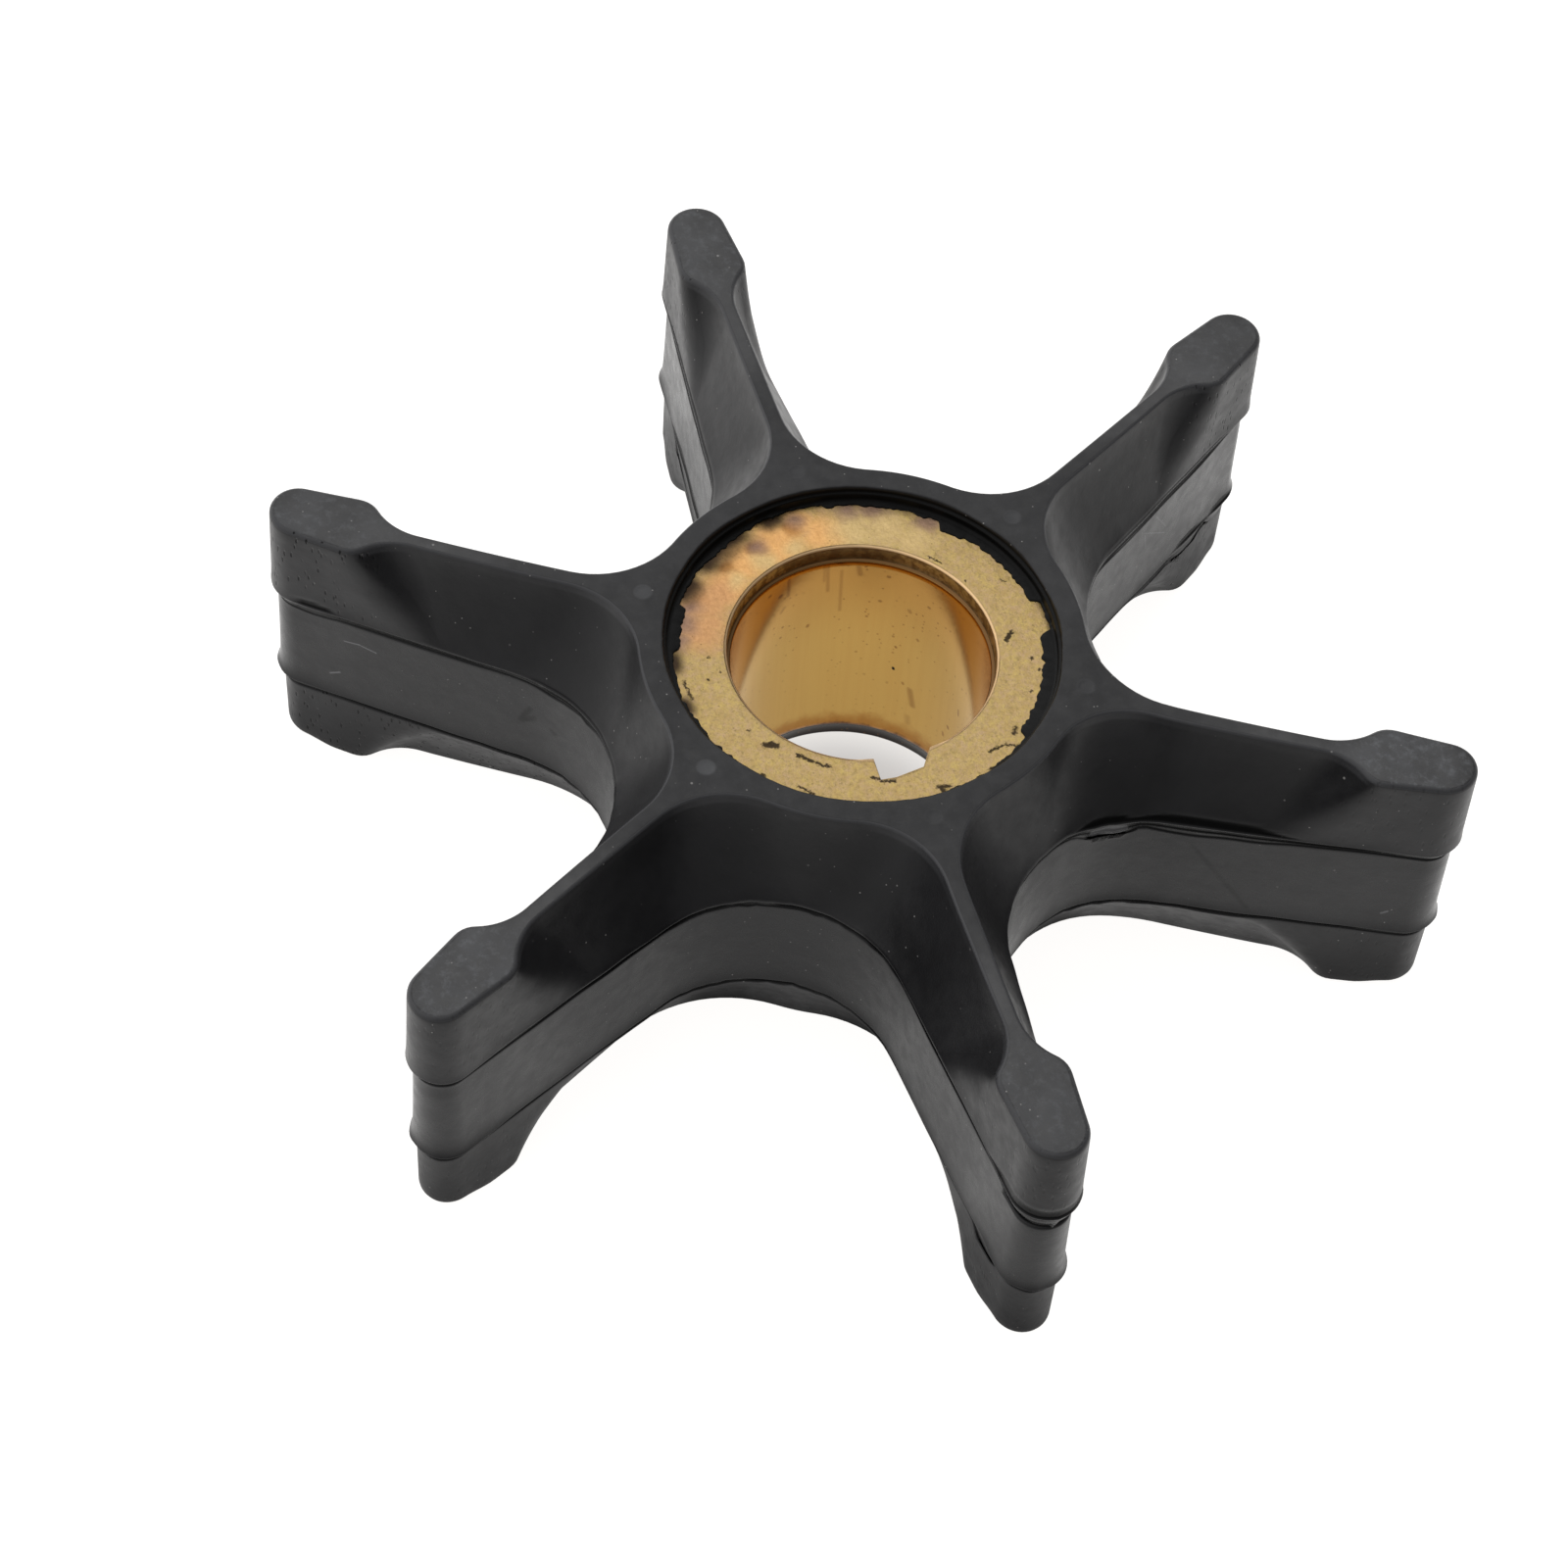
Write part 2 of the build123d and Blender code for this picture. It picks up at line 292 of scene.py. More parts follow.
def settled(points):
    """The points with every vane swung and bent to where it really stands."""
    vane, along, across = vane_frame(points)
    off_middle = PITCH / 2 - np.degrees(np.arctan2(np.abs(across), along))
    hold = smooth(*HUB_HOLD, along) * smooth(0, VALLEY_HOLD, off_middle)
    sway = np.radians(np.array(SWAY))[vane] * along
    bend = np.array(BEND)[vane] * (np.clip(along - BEND_FROM, 0, None) / BEND_REACH) ** 2
    shift = hold * (sway + bend)
    turns = np.radians(PITCH * vane)
    moved = points.copy()
    moved[:, 0] -= shift * np.sin(turns)
    moved[:, 1] += shift * np.cos(turns)
    return moved


class PartingLine:
    """One parting line: how its lip, undercut and fin wander round the outline."""

    def __init__(self, level, name, seed, tip_lip, swell_above, swell_below):
        self.level = level
        self.step = (swell_above, swell_below)
        line = star_line(END_BAND)[0]
        vane, along, across = vane_frame(line)
        turn = np.arctan2(line[:, 1], line[:, 0])
        self.at_tip = smooth(27.5, 31.5, along)
        lip = LIP + (tip_lip - LIP) * self.at_tip
        inward = DRAFT * (swell_above - swell_below) * self.at_tip
        uneven = ripple(turn, seed, (20, 90), 0.14) + ripple(turn, seed + 1, (90, 260), 0.10)
        wave = ripple(turn, seed + 3, (6, 40), 0.03) + ripple(turn, seed + 4, (60, 200), 0.012)
        self.lip = lip * (1 + uneven)
        self.groove = GROOVE * (1 + ripple(turn, seed + 2, (20, 120), 0.25))
        finned = smooth(FIN_FROM[name], FIN_FROM[name] + 0.35, ripple(turn, seed + 5, (6, 26), 0.4))
        self.fin = FIN * finned * (1 - 0.6 * self.at_tip)
        self.top = wave
        opened = OPEN_CREASE[name] * (1 + ripple(turn, seed + 6, (30, 120), 0.22))
        self.bottom = wave - opened - OVERHANG_SLOPE * (self.lip + self.groove + inward)
        self.soot_and_pocket_shade, self.solid = 0 * turn, 0 * turn
        ragged = 1 + ripple(turn, seed + 7, (60, 220), 0.07)
        self.add_flash([row for row in FLASH if row[2] == name], vane, along, across, ragged)

    def add_flash(self, table, vane, along, across, ragged):
        """The thick or torn places of this line, with the painted shade of their pockets and creases."""
        for which, face_side, _, radius, width, soot_and_pocket_shade, up, down, out in table:
            near = (vane == which) * (across * face_side > -0.05)
            bump = near * np.exp(-np.abs((along - radius) / width) ** 4)
            torn = bump * ragged
            self.lip = self.lip + out * bump
            self.soot_and_pocket_shade = np.maximum(self.soot_and_pocket_shade, soot_and_pocket_shade * bump)
            self.solid = np.maximum(self.solid, bump * (down > CLOSED))
            self.top = self.top + up * torn
            self.bottom = self.bottom - down * torn

    def row(self, height, shares):
        """Outward reach, height and painted shade of the wall in one row of the profile."""
        if shares is None:
            # Painted shade in the pocket over the lip, where the wall is also set back
            painted_shade_pocket = smooth(-0.12, 0.04, self.soot_and_pocket_shade - height) * (self.soot_and_pocket_shade > 0.05)
            painted_shade_pocket = painted_shade_pocket * np.where(height > 0.05, 1, self.solid)
            out = self.lip * np.exp(-height / LIP_FADE) - POCKET * painted_shade_pocket
            z = self.level + height + self.top * math.exp(-(height / WAVE_FADE) ** 2)
            return out + swell(self.level + height, self.at_tip), z, painted_shade_pocket
        lip, groove, fin, dark = shares
        out = lip * self.lip - groove * self.groove + fin * self.fin * (1 - self.solid)
        share = min(-height / UNDERCUT, 1.0)
        above, below = self.step
        out = out + DRAFT * self.at_tip * (above + (below - above) * share)
        if height >= -UNDERCUT:
            z = self.level + self.top + (self.bottom - self.top) * share
        else:
            past = height + UNDERCUT
            z = self.level + height + (self.bottom + UNDERCUT) * math.exp(-(past / UNDERCUT_FADE) ** 2)
        return out, z, np.maximum(dark, self.solid * (-UNDERCUT <= height <= 0))

    def rows(self):
        """Every row of the profile from the lowest up."""
        return [(height, *self.row(height, shares)) for height, shares in LIP_ROWS[::-1]]


def rim_radius(line, foot):
    """Rounding radius of the face rim at each point of the outline."""
    _, along, _ = vane_frame(line)
    if foot:
        rib = smooth(12, 15, along) * (1 - smooth(24, 27, along))
        return FOOT_RIM + (FOOT_TIP_RIM - FOOT_RIM) * smooth(29.5, 32.5, along) - FOOT_RIB_LESS * rib
    return RIM + (BULB_RIM - RIM) * smooth(25.5, 28.5, along)


def below_face(drop, hold):
    """Depth of the section at a distance from a face; it stays the same near the parting line."""
    return min(drop * END_BAND / (END_BAND - hold), END_BAND)


def swell(z, at_tip):
    """How far the wall stands out at a height, since each band widens towards its lower edge."""
    if z > UPPER_LINE:
        return DRAFT * at_tip * (HEIGHT - z) / END_BAND
    if z > LOWER_LINE:
        down = (UPPER_LINE - z) / (UPPER_LINE - LOWER_LINE)
        return DRAFT * at_tip * (MIDDLE_SWELL[0] + (MIDDLE_SWELL[1] - MIDDLE_SWELL[0]) * down)
    return DRAFT * at_tip * LOWER_SWELL


def wall_rows():
    """Every ring of the wall from the foot to the face, and how much shade is painted in its crease there."""
    lower = PartingLine(LOWER_LINE, "lower", 23, TIP_LIP, MIDDLE_SWELL[1], LOWER_SWELL)
    upper = PartingLine(UPPER_LINE, "upper", 11, UPPER_TIP_LIP, 1.0, MIDDLE_SWELL[0])
    base_line = star_line(0)[0]
    top_of_lip, under_lip = LIP_ROWS[0][0], LIP_ROWS[-1][0]
    rows = []

    def put(depth, outward, z, dark=0.0):
        line, normal = star_line(depth, FOOT if float(np.mean(z)) < LOWER_LINE else FACE)
        count = len(line)
        moved = line + normal * np.broadcast_to(outward, count)[:, None]
        ring = np.column_stack([moved, np.broadcast_to(z, count)])
        rows.append((ring, np.broadcast_to(dark, count)))

    def plain(depth, z):
        put(depth, swell(float(np.mean(z)), upper.at_tip), z)

    def rim(radius, face_z, up):
        nominal = float(np.min(radius))
        for k in range(RIM_STEPS + 1):
            turn = math.pi / 2 * k / RIM_STEPS
            drop = 1 - math.cos(turn)
            yield nominal * drop, -radius * (1 - math.sin(turn)), face_z + up * radius * drop

    foot_radius, face_radius = rim_radius(base_line, True), rim_radius(base_line, False)
    for depth, outward, z in rim(foot_radius, 0.0, 1):
        put(depth, outward + swell(0.0, upper.at_tip), z)
    first, last = float(np.min(foot_radius)), END_BAND + under_lip
    for k in range(1, BAND_STEPS):
        share = k / BAND_STEPS
        depth = first + (last - first) * share
        plain(below_face(depth, UNDER_HOLD), foot_radius + (last - foot_radius) * share)
    for height, out, z, dark in lower.rows():
        put(below_face(END_BAND + height, UNDER_HOLD), out, z, dark)
    low, high = LOWER_LINE + top_of_lip, UPPER_LINE + under_lip
    for k in range(1, MIDDLE_STEPS):
        plain(END_BAND, low + (high - low) * k / MIDDLE_STEPS)
    for height, out, z, dark in upper.rows():
        put(below_face(END_BAND - height, LIP_HOLD), out, z, dark)
    first, last = END_BAND - top_of_lip, float(np.min(face_radius))
    for k in range(1, BAND_STEPS):
        share = k / BAND_STEPS
        depth = first + (last - first) * share
        plain(below_face(depth, LIP_HOLD), HEIGHT - first - (face_radius - first) * share)
    for depth, outward, z in list(rim(face_radius, HEIGHT, -1))[::-1]:
        put(depth, outward, z)
    return rows


def ring_at(angles, radius, z, centre=(0, 0)):
    """Ring of points round the axis or another centre; radius and z may vary along it."""
    x, y = centre[0] + radius * np.cos(angles), centre[1] + radius * np.sin(angles)
    return np.column_stack([x, y, np.broadcast_to(z, angles.shape)])


def torn_lip(angles, foot):
    """Inner radius of the lip of rubber that was torn back off the brass."""
    degrees = np.degrees(angles)
    seed = 71 if foot else 41
    radius = LIP_EDGE + ripple(angles, seed, (8, 30), 0.05)
    if not foot:
        for start, end, depth in LIP_LEFT:
            inside = smooth(start - 0.8, start + 0.8, degrees) * (1 - smooth(end - 1.2, end + 1.2, degrees))
            radius = radius + (depth - radius) * inside
        bare = smooth(82, 84, degrees) * (1 - smooth(93, 96, degrees))
        radius = radius + (LIP_GONE - radius) * bare
        turned = (-degrees) % 360
        radius = radius + LIP_BACK * smooth(158, 164, turned) * (1 - smooth(182, 188, turned))
    torn = ripple(angles, seed + 1, (25, 80), 0.045) + ripple(angles, seed + 2, (90, 200), 0.03)
    return np.minimum(radius + torn, LIP_FURTHEST)


def hub_rings(foot):
    """Rings from the rim of the recess, down its wall and over the torn lip, to the brass."""
    angles = np.linspace(-math.pi, math.pi, HUB_SAMPLES, endpoint=False)
    seed = 91 if foot else 61
    rim = RECESS_RADIUS + 0.16 + ripple(angles, seed, (3, 14), 0.04)
    rim = rim + ripple(angles, seed + 1, (40, 90), 0.006)
    ledge = RECESS_RADIUS - 0.1 + ripple(angles, seed + 2, (2, 9), 0.03)
    lip = torn_lip(angles, foot)
    thick = 0.11 + ripple(angles, seed + 3, (5, 24), 0.02)
    wall = RECESS_RADIUS + 0.02
    down = HEIGHT - BUSHING_TOP
    low = wall - 0.16
    rings = [
        (RECESS_RADIUS + 0.75, 0.0), (rim + 0.06, 0.0), (rim, 0.004), (rim - 0.06, 0.015),
        (rim - 0.11, 0.05), (rim - 0.13, 0.12), (wall, 0.3), (wall - 0.01, 0.36), (ledge + 0.02, 0.4),
        (ledge - 0.05, 0.43), (low, 0.5), (low, 0.72),
        (low - 0.03, down - thick - 0.02), (np.maximum(lip + 0.1, low - 0.22), down - thick + 0.02),
        (lip + 0.05, down - 0.7 * thick), (lip + 0.01, down - 0.35 * thick), (lip, down - 0.004),
        (BUSHING_RADIUS + SEAT_GAP, down - 0.004),
    ]
    return [ring_at(angles, radius, depth if foot else HEIGHT - depth) for radius, depth in rings]


def strip_faces(first, second, count, flip=False):
    """Quads between two closed rings of count vertices that start at these indices."""
    faces = []
    for k in range(count):
        n = (k + 1) % count
        quad = (first + k, first + n, second + n, second + k)
        faces.append(quad[::-1] if flip else quad)
    return faces


PIN_RADIUS = 12.06
PIN_RINGS = ((0.56, 0.0), (0.5, 0.006), (0.44, 0.007), (0.38, -0.006), (0.3, -0.02), (0.14, -0.022))
PIN_SAMPLES = 28


def around(degrees, radius, z):
    """Point at some degrees from +X round the bore axis."""
    turn = math.radians(degrees)
    return (radius * math.cos(turn), radius * math.sin(turn), z)


def pin_place(vane, rise=0.0, radius=PIN_RADIUS):
    """Middle of one mould-pin mark, or a place at another radius on the same vane."""
    return around(PITCH * vane, radius, HEIGHT + rise)


def pin_rings(vane):
    """Rings of one mould-pin mark: a low rim round a shallow dish, on the root of a vane."""
    angles = np.linspace(0, 2 * math.pi, PIN_SAMPLES, endpoint=False)
    return [ring_at(angles, radius, HEIGHT + rise, pin_place(vane)) for radius, rise in PIN_RINGS]


class Shell:
    """Vertices, faces and the painted shade of the creases gathered ring by ring."""

    def __init__(self):
        self.points = []
        self.dark = []
        self.faces = []
        self.count = 0

    def ring(self, points, dark=0.0):
        start = self.count
        self.points.append(points)
        self.dark.append(np.broadcast_to(dark, len(points)))
        self.count += len(points)
        return start

    def skin(self, rings, flip=False, dark=None):
        """Joins a row of rings of equal length, and gives where the first and last begin."""
        dark = dark or [0.0] * len(rings)
        starts = [self.ring(r, d) for r, d in zip(rings, dark)]
        for a, b in zip(starts, starts[1:]):
            self.faces += strip_faces(a, b, len(rings[0]), flip)
        return starts[0], starts[-1]

    def fan(self, start, count, centre, flip=False):
        middle = self.ring(np.array([centre]))
        for k in range(count):
            face = (start + k, start + (k + 1) % count, middle)
            self.faces.append(face[::-1] if flip else face)


def show(name, data):
    """A new object in the scene."""
    made = bpy.data.objects.new(name, data)
    bpy.context.scene.collection.objects.link(made)
    return made


def loop_edges(bm, start, count):
    bm.verts.ensure_lookup_table()
    found = []
    for k in range(count):
        pair = (bm.verts[start + k], bm.verts[start + (k + 1) % count])
        found.append(bm.edges.get(pair) or bm.edges.new(pair))
    return found


def make_object(name, points, faces, material, caps=(), crease=None):
    """A mesh in metres; each cap is a list of loops that bound one flat face with holes."""
    mesh = bpy.data.meshes.new(name)
    mesh.from_pydata([tuple(p) for p in points * MM], [], faces)
    # The painted shade of the creases goes to the shader with each vertex.
    if crease is not None:
        mesh.attributes.new("crease_painted_shade", "FLOAT", "POINT").data.foreach_set("value", crease)
    bm = bmesh.new()
    bm.from_mesh(mesh)
    for loops, up in caps:
        edges = [e for start, count in loops for e in loop_edges(bm, start, count)]
        filled = bmesh.ops.triangle_fill(bm, use_beauty=True, edges=edges)
        faces_made = [f for f in filled["geom"] if isinstance(f, bmesh.types.BMFace)]
        for f in faces_made:
            f.normal_update()
            if (f.normal.z > 0) != up:
                f.normal_flip()
    for f in bm.faces:
        f.smooth = True
    bm.to_mesh(mesh)
    bm.free()
    mesh.materials.append(material)
    return show(name, mesh)


def rubber_mesh(material):
    shell = Shell()
    rows, dark = zip(*wall_rows())
    count = len(rows[0])
    foot_loop, face_loop = shell.skin(rows, dark=dark)
    hub_face, seat_top = shell.skin(hub_rings(False))
    hub_foot, seat_foot = shell.skin(hub_rings(True), flip=True)
    shell.faces += strip_faces(seat_foot, seat_top, HUB_SAMPLES, flip=True)
    pins = []
    for vane in range(VANES):
        start, last = shell.skin(pin_rings(vane))
        shell.fan(last, PIN_SAMPLES, pin_place(vane, PIN_RINGS[-1][1]))
        pins.append((start, PIN_SAMPLES))
    caps = (
        ([(face_loop, count), (hub_face, HUB_SAMPLES), *pins], True),
        ([(foot_loop, count), (hub_foot, HUB_SAMPLES)], False),
    )
    points = settled(np.concatenate(shell.points))
    return make_object("rubber_moulding", points, shell.faces, material, caps, np.concatenate(shell.dark))


# Brass bushing
BORE_RADIUS = 7.0
LEAD_IN = BORE_RADIUS + 0.2
LEAD_DEPTH = 1.0
LEAD_EDGE = ((0.1, 0.02), (0.04, 0.06), (0.01, 0.12), (0, 0.2))   # worn rim: how far out and down
KEY_SIDES = (-1.6, 1.5)      # where the worn keyway leaves the bore
KEY_CORNERS = ((8.4, -1.64), (8.45, -0.8), (8.17, 0.78), (7.62, 1.12))
BORE_SAMPLES = 360
KEY_SAMPLES = 7


def bore_plan(radius):
    """Plan of the bore with its keyway, as a loop that starts where the keyway ends."""
    low, high = KEY_SIDES
    start, end = math.asin(high / radius), 2 * math.pi + math.asin(low / radius)
    round_part = arc((0, 0), radius, start, end, BORE_SAMPLES)
    wall = np.linspace(0, 1, KEY_SAMPLES)[:, None]
    corners = [round_part[-1], *KEY_CORNERS, round_part[0]]
    edges = [
        np.array(a) + (np.array(b) - np.array(a)) * wall[1:] for a, b in zip(corners, corners[1:])
    ]
    return np.concatenate([round_part, *edges])[:-1]


def brass_mesh(material):
    """Sleeve with worn edges: outer wall, granular faces, lead-ins and the bore with its keyway."""
    shell = Shell()
    count = len(bore_plan(BORE_RADIUS))

    def plan(grow, radius, z):
        line = bore_plan(radius)
        away = line / np.hypot(*line.T)[:, None]
        off_key = np.degrees(np.abs(np.arctan2(line[:, 1], line[:, 0])))
        grow = grow * smooth(14, 24, off_key)
        return np.column_stack([line + away * grow[:, None], np.full(count, z)])

    def outer(radius, z):
        line = bore_plan(BORE_RADIUS)
        return ring_at(np.arctan2(line[:, 1], line[:, 0]), radius, z)

    def face_ring(share, z):
        inner, rim = plan(0.16, LEAD_IN, z), outer(BUSHING_RADIUS - 0.12, z)
        return inner + (rim - inner) * share

    top, foot = BUSHING_TOP, BUSHING_FOOT
    bore_top, bore_foot = top - LEAD_DEPTH, foot + LEAD_DEPTH
    down = [face_ring(share, top) for share in np.linspace(1, 0, 12)]
    down += [plan(grow, LEAD_IN, top - drop) for grow, drop in LEAD_EDGE]
    down += [plan(0, LEAD_IN, bore_top + 0.05), plan(0, LEAD_IN - 0.04, bore_top)]
    down += [plan(0, BORE_RADIUS + 0.05, bore_top), plan(0, BORE_RADIUS, bore_top - 0.06)]
    middle = [plan(0, BORE_RADIUS, z) for z in np.linspace(bore_top - 0.4, bore_foot + 0.4, 24)]
    mirror = [np.column_stack([r[:, :2], top + foot - r[:, 2]]) for r in down[::-1]]
    sides = [outer(BUSHING_RADIUS - 0.03, foot + 0.04), outer(BUSHING_RADIUS, foot + 0.15)]
    sides += [outer(BUSHING_RADIUS, top - 0.15), outer(BUSHING_RADIUS - 0.03, top - 0.04)]
    first, last = shell.skin(down + middle + mirror + sides)
    shell.faces += strip_faces(last, first, count)
    return make_object("bushing_sleeve", np.concatenate(shell.points), shell.faces, material)


TREES = []                   # the node trees so far; the functions below write to the last


def begin(owner):
    """Starts the nodes of a material or a world anew."""
    owner.use_nodes = True
    owner.node_tree.nodes.clear()
    TREES.append(owner.node_tree)
    return owner


def add(kind, inputs=None, **settings):
    """One shader node with its settings; an input is a value or another node's output."""
    node = TREES[-1].nodes.new("ShaderNode" + kind)
    for key, value in settings.items():
        setattr(node, key, value)
    for key, value in (inputs or {}).items():
        if isinstance(value, bpy.types.NodeSocket):
            TREES[-1].links.new(value, node.inputs[key])
        else:
            node.inputs[key].default_value = value
    return node


def finish(material, inputs):
    """The one shader of a material."""
    add("OutputMaterial", {"Surface": add("BsdfPrincipled", inputs).outputs[0]})
    return material


def maths(operation, first, second=0.0, clamp=False):
    node = add("Math", {0: first, 1: second}, operation=operation, use_clamp=clamp)
    return node.outputs[0]


def times(first, second):
    return maths("MULTIPLY", first, second)


def plus(first, second):
    return maths("ADD", first, second)


def inverse(value):
    return maths("SUBTRACT", 1.0, value)


def vectors(operation, first, second=(0, 0, 0)):
    """Sum, product and so on of two vectors; a distance, length or dot product is one value."""
    node = add("VectorMath", {0: first, 1: second}, operation=operation)
    return node.outputs["Value" if operation in ("DISTANCE", "LENGTH", "DOT_PRODUCT") else "Vector"]


def scaled(vector, share):
    return add("VectorMath", {0: vector, "Scale": share}, operation="SCALE").outputs["Vector"]


def along_axis(vector, axis):
    return add("SeparateXYZ", {0: vector}).outputs[axis]


def ramp(value, start, end, low=0.0, high=1.0):
    """Smooth change from low to high while value goes from start to end."""
    if start > end:
        start, end, low, high = end, start, high, low
    node = add("MapRange", {
        "Value": value, "From Min": start, "From Max": end, "To Min": low, "To Max": high,
    }, interpolation_type="SMOOTHSTEP")
    return node.outputs["Result"]


def blend(share, first, second):
    """Colour between first and second."""
    first, second = ((*c, 1) if isinstance(c, tuple) else c for c in (first, second))
    return add("Mix", {0: share, 6: first, 7: second}, data_type="RGBA").outputs[2]


def layered(colour, *layers):
    """The colour with others over it; each layer is a share and its colour."""
    for share, over in layers:
        colour = blend(share, colour, over)
    return colour


def millimetres(stretch=(1, 1, 1)):
    """Place on the part in millimetres, squeezed by stretch along each axis."""
    place = add("TexCoord").outputs["Object"]
    return vectors("MULTIPLY", place, tuple(k / MM for k in stretch))


def cloud(place, per_mm, detail=2.0, rough=0.5):
    """Noise from 0 to 1 with so many lumps to the millimetre."""
    node = add("TexNoise", {
        "Vector": place, "Scale": per_mm, "Detail": detail, "Roughness": rough,
    })
    return node.outputs["Fac"]


def grains(place, per_mm, share, size):
    """Scattered dots: share of the cells that hold one, and its size in a cell."""
    cells = add("TexVoronoi", {"Vector": place, "Scale": per_mm})
    draw = add("SeparateColor", {0: cells.outputs["Color"]}).outputs[0]
    chosen = maths("LESS_THAN", draw, share)
    return times(ramp(cells.outputs["Distance"], size, size * 0.4), chosen)


def spot(place, centre, radius, soft):
    """1 within radius of a point, fading out over soft."""
    return ramp(vectors("DISTANCE", place, centre), radius + soft, radius)


def stroke(place, start, end, half, soft):
    """1 along the line from start to end, fading out past half its width over soft."""
    start, run = Vector(start), Vector(end) - Vector(start)
    away = vectors("SUBTRACT", place, start)
    share = vectors("DOT_PRODUCT", away, run / max(run.length_squared, 1e-6))
    share = maths("MULTIPLY", share, 1.0, clamp=True)
    reach = vectors("DISTANCE", away, scaled(run, share))
    return ramp(reach, half + soft, half)


def stray(place, per_mm, reach, detail):
    """The place shifted by noise, so that what is drawn there gets a ragged edge."""
    uneven = add("TexNoise", {"Vector": place, "Scale": per_mm, "Detail": detail})
    shift = vectors("SUBTRACT", uneven.outputs["Color"], (0.5, 0.5, 0.5))
    return vectors("ADD", place, scaled(shift, reach))


def most(values):
    """The largest of some values, taken one at a time so that few are held at once."""
    total = 0.0
    for value in values:
        total = maths("MAXIMUM", value, total)
    return total


def product(values):
    total = values[0]
    for value in values[1:]:
        total = times(total, value)
    return total


def bumps(layers):
    """Normal from heights; each layer is a height from 0 to 1 and its depth in millimetres."""
    normal = None
    for height, depth in layers:
        inputs = {"Height": height, "Distance": depth * MM, "Strength": 1.0}
        if normal is not None:
            inputs["Normal"] = normal
        normal = add("Bump", inputs).outputs[0]
    return normal


def radius_and_height(place):
    flat = vectors("MULTIPLY", place, (1, 1, 0))
    return vectors("LENGTH", flat), along_axis(place, "Z")


def facing_up():
    """1 on a face that looks up, 0 on a wall and -1 on a face that looks down."""
    return along_axis(add("NewGeometry").outputs["Normal"], "Z")


RUBBER_BLACK = (0.0085, 0.0083, 0.009)
RUBBER_SOOT = (0.013, 0.0128, 0.0138)
RUBBER_PALE = (0.07, 0.072, 0.077)
RUBBER_EDGE = (0.045, 0.045, 0.048)
RUBBER_DUST = (0.30, 0.29, 0.28)
RUBBER_PIT = (0.002, 0.002, 0.002)
SCRATCH_GREY = (0.14, 0.14, 0.147)
PIN_GREY = (0.046, 0.047, 0.05)
TAB_GREY = (0.05, 0.05, 0.053)
# Painted shade in the recess round the bushing and on the torn lip in it
RECESS_SHADE_BLACK = (0.003, 0.003, 0.003)
# Painted shade in the creases under the lips of flash
CREASE_SHADE_BLACK = (0.001, 0.001, 0.001)
RUBBER_SHINE = 0.27          # specular level

BULB_MIDDLE = 30.0           # bore axis to the middle of a bulb
# How pale each bulb and pin mark is rubbed
BULB_PALENESS = (0.6, 1.0, 0.4, 0.6, 0.6, 0.9)
PIN_PALENESS = (0.15, 0.2, 0.35, 0.1, 0.6, 0.85)

# Pale scratches: from vane, side, radius and height, to radius and height, half width, softness
# and strength
SCRATCHES = (
    ((4, 1, 28.5, 10.55), (27.6, 10.7), 0.015, 0.06, 0.8),
    ((4, 1, 27.6, 10.7), (26.6, 10.48), 0.015, 0.06, 0.8),
    ((4, 1, 29.5, 7.2), (28.9, 7.56), 0.02, 0.07, 0.8), ((4, 1, 28.3, 5.9), (27.9, 5.7), 0.01, 0.06, 0.6),
    ((2, -1, 21.9, 10.9), (24.4, 8.7), 0.01, 0.05, 0.6),
    ((2, -1, 24.4, 9.3), (22.9, 11.5), 0.01, 0.05, 0.5),
    ((2, -1, 22.4, 9.1), (22.0, 10.6), 0.01, 0.05, 0.5),
    ((2, -1, 25.6, 8.0), (26.4, 10.2), 0.01, 0.05, 0.4), ((1, -1, 30.4, 7.2), (30.1, 7.0), 0.03, 0.08, 0.6),
)
# Dark smudges and creases, in the same order
SMUDGES = (
    ((4, 1, 18.05, 8.8), (17.5, 10.0), 0.05, 0.3, 0.6), ((4, 1, 18.0, 8.8), (17.3, 9.3), 0.08, 0.3, 0.6),
    ((4, 1, 16.2, 8.9), (16.0, 8.8), 0.06, 0.25, 0.5), ((1, -1, 19.25, 11.12), (22.9, 6.1), 0.04, 0.24, 0.35),
    ((1, -1, 31.4, 3.6), (32.0, 2.6), 0.05, 0.12, 0.7), ((0, -1, 30.1, 12.9), (30.3, 12.2), 0.15, 0.15, 0.9),
)
# Grey tab of flash under the upper line of vane 1, by the hub
TAB = ((1, -1, 14.2, 12.15), (15.3, 12.15), 0.42, 0.14)

# Half outline of a vane between the parting lines, from the valley out
FLANK = half_outline(END_BAND)[::-1]


def on_vane(vane, side_sign, along, z):
    """Point on the flank of a vane as it really stands."""
    turn = math.radians(PITCH * vane)
    across = side_sign * float(np.interp(along, FLANK[:, 0], FLANK[:, 1]))
    c, s = math.cos(turn), math.sin(turn)
    return tuple(settled(np.array([(along * c - across * s, along * s + across * c, z)]))[0])


def vane_strokes(place, table):
    """Strokes along the flanks, each with its own strength."""
    return most((
        times(stroke(place, on_vane(*start), on_vane(*start[:2], *end), half, soft), share)
        for start, end, half, soft, share in table
    ))


def vane_spots(place, radius, shares, half, soft):
    """A spot at one radius on the upper face of every vane, each with its own strength."""
    return most((
        times(spot(place, pin_place(vane, 0.0, radius), half, soft), share)
        for vane, share in enumerate(shares)
    ))


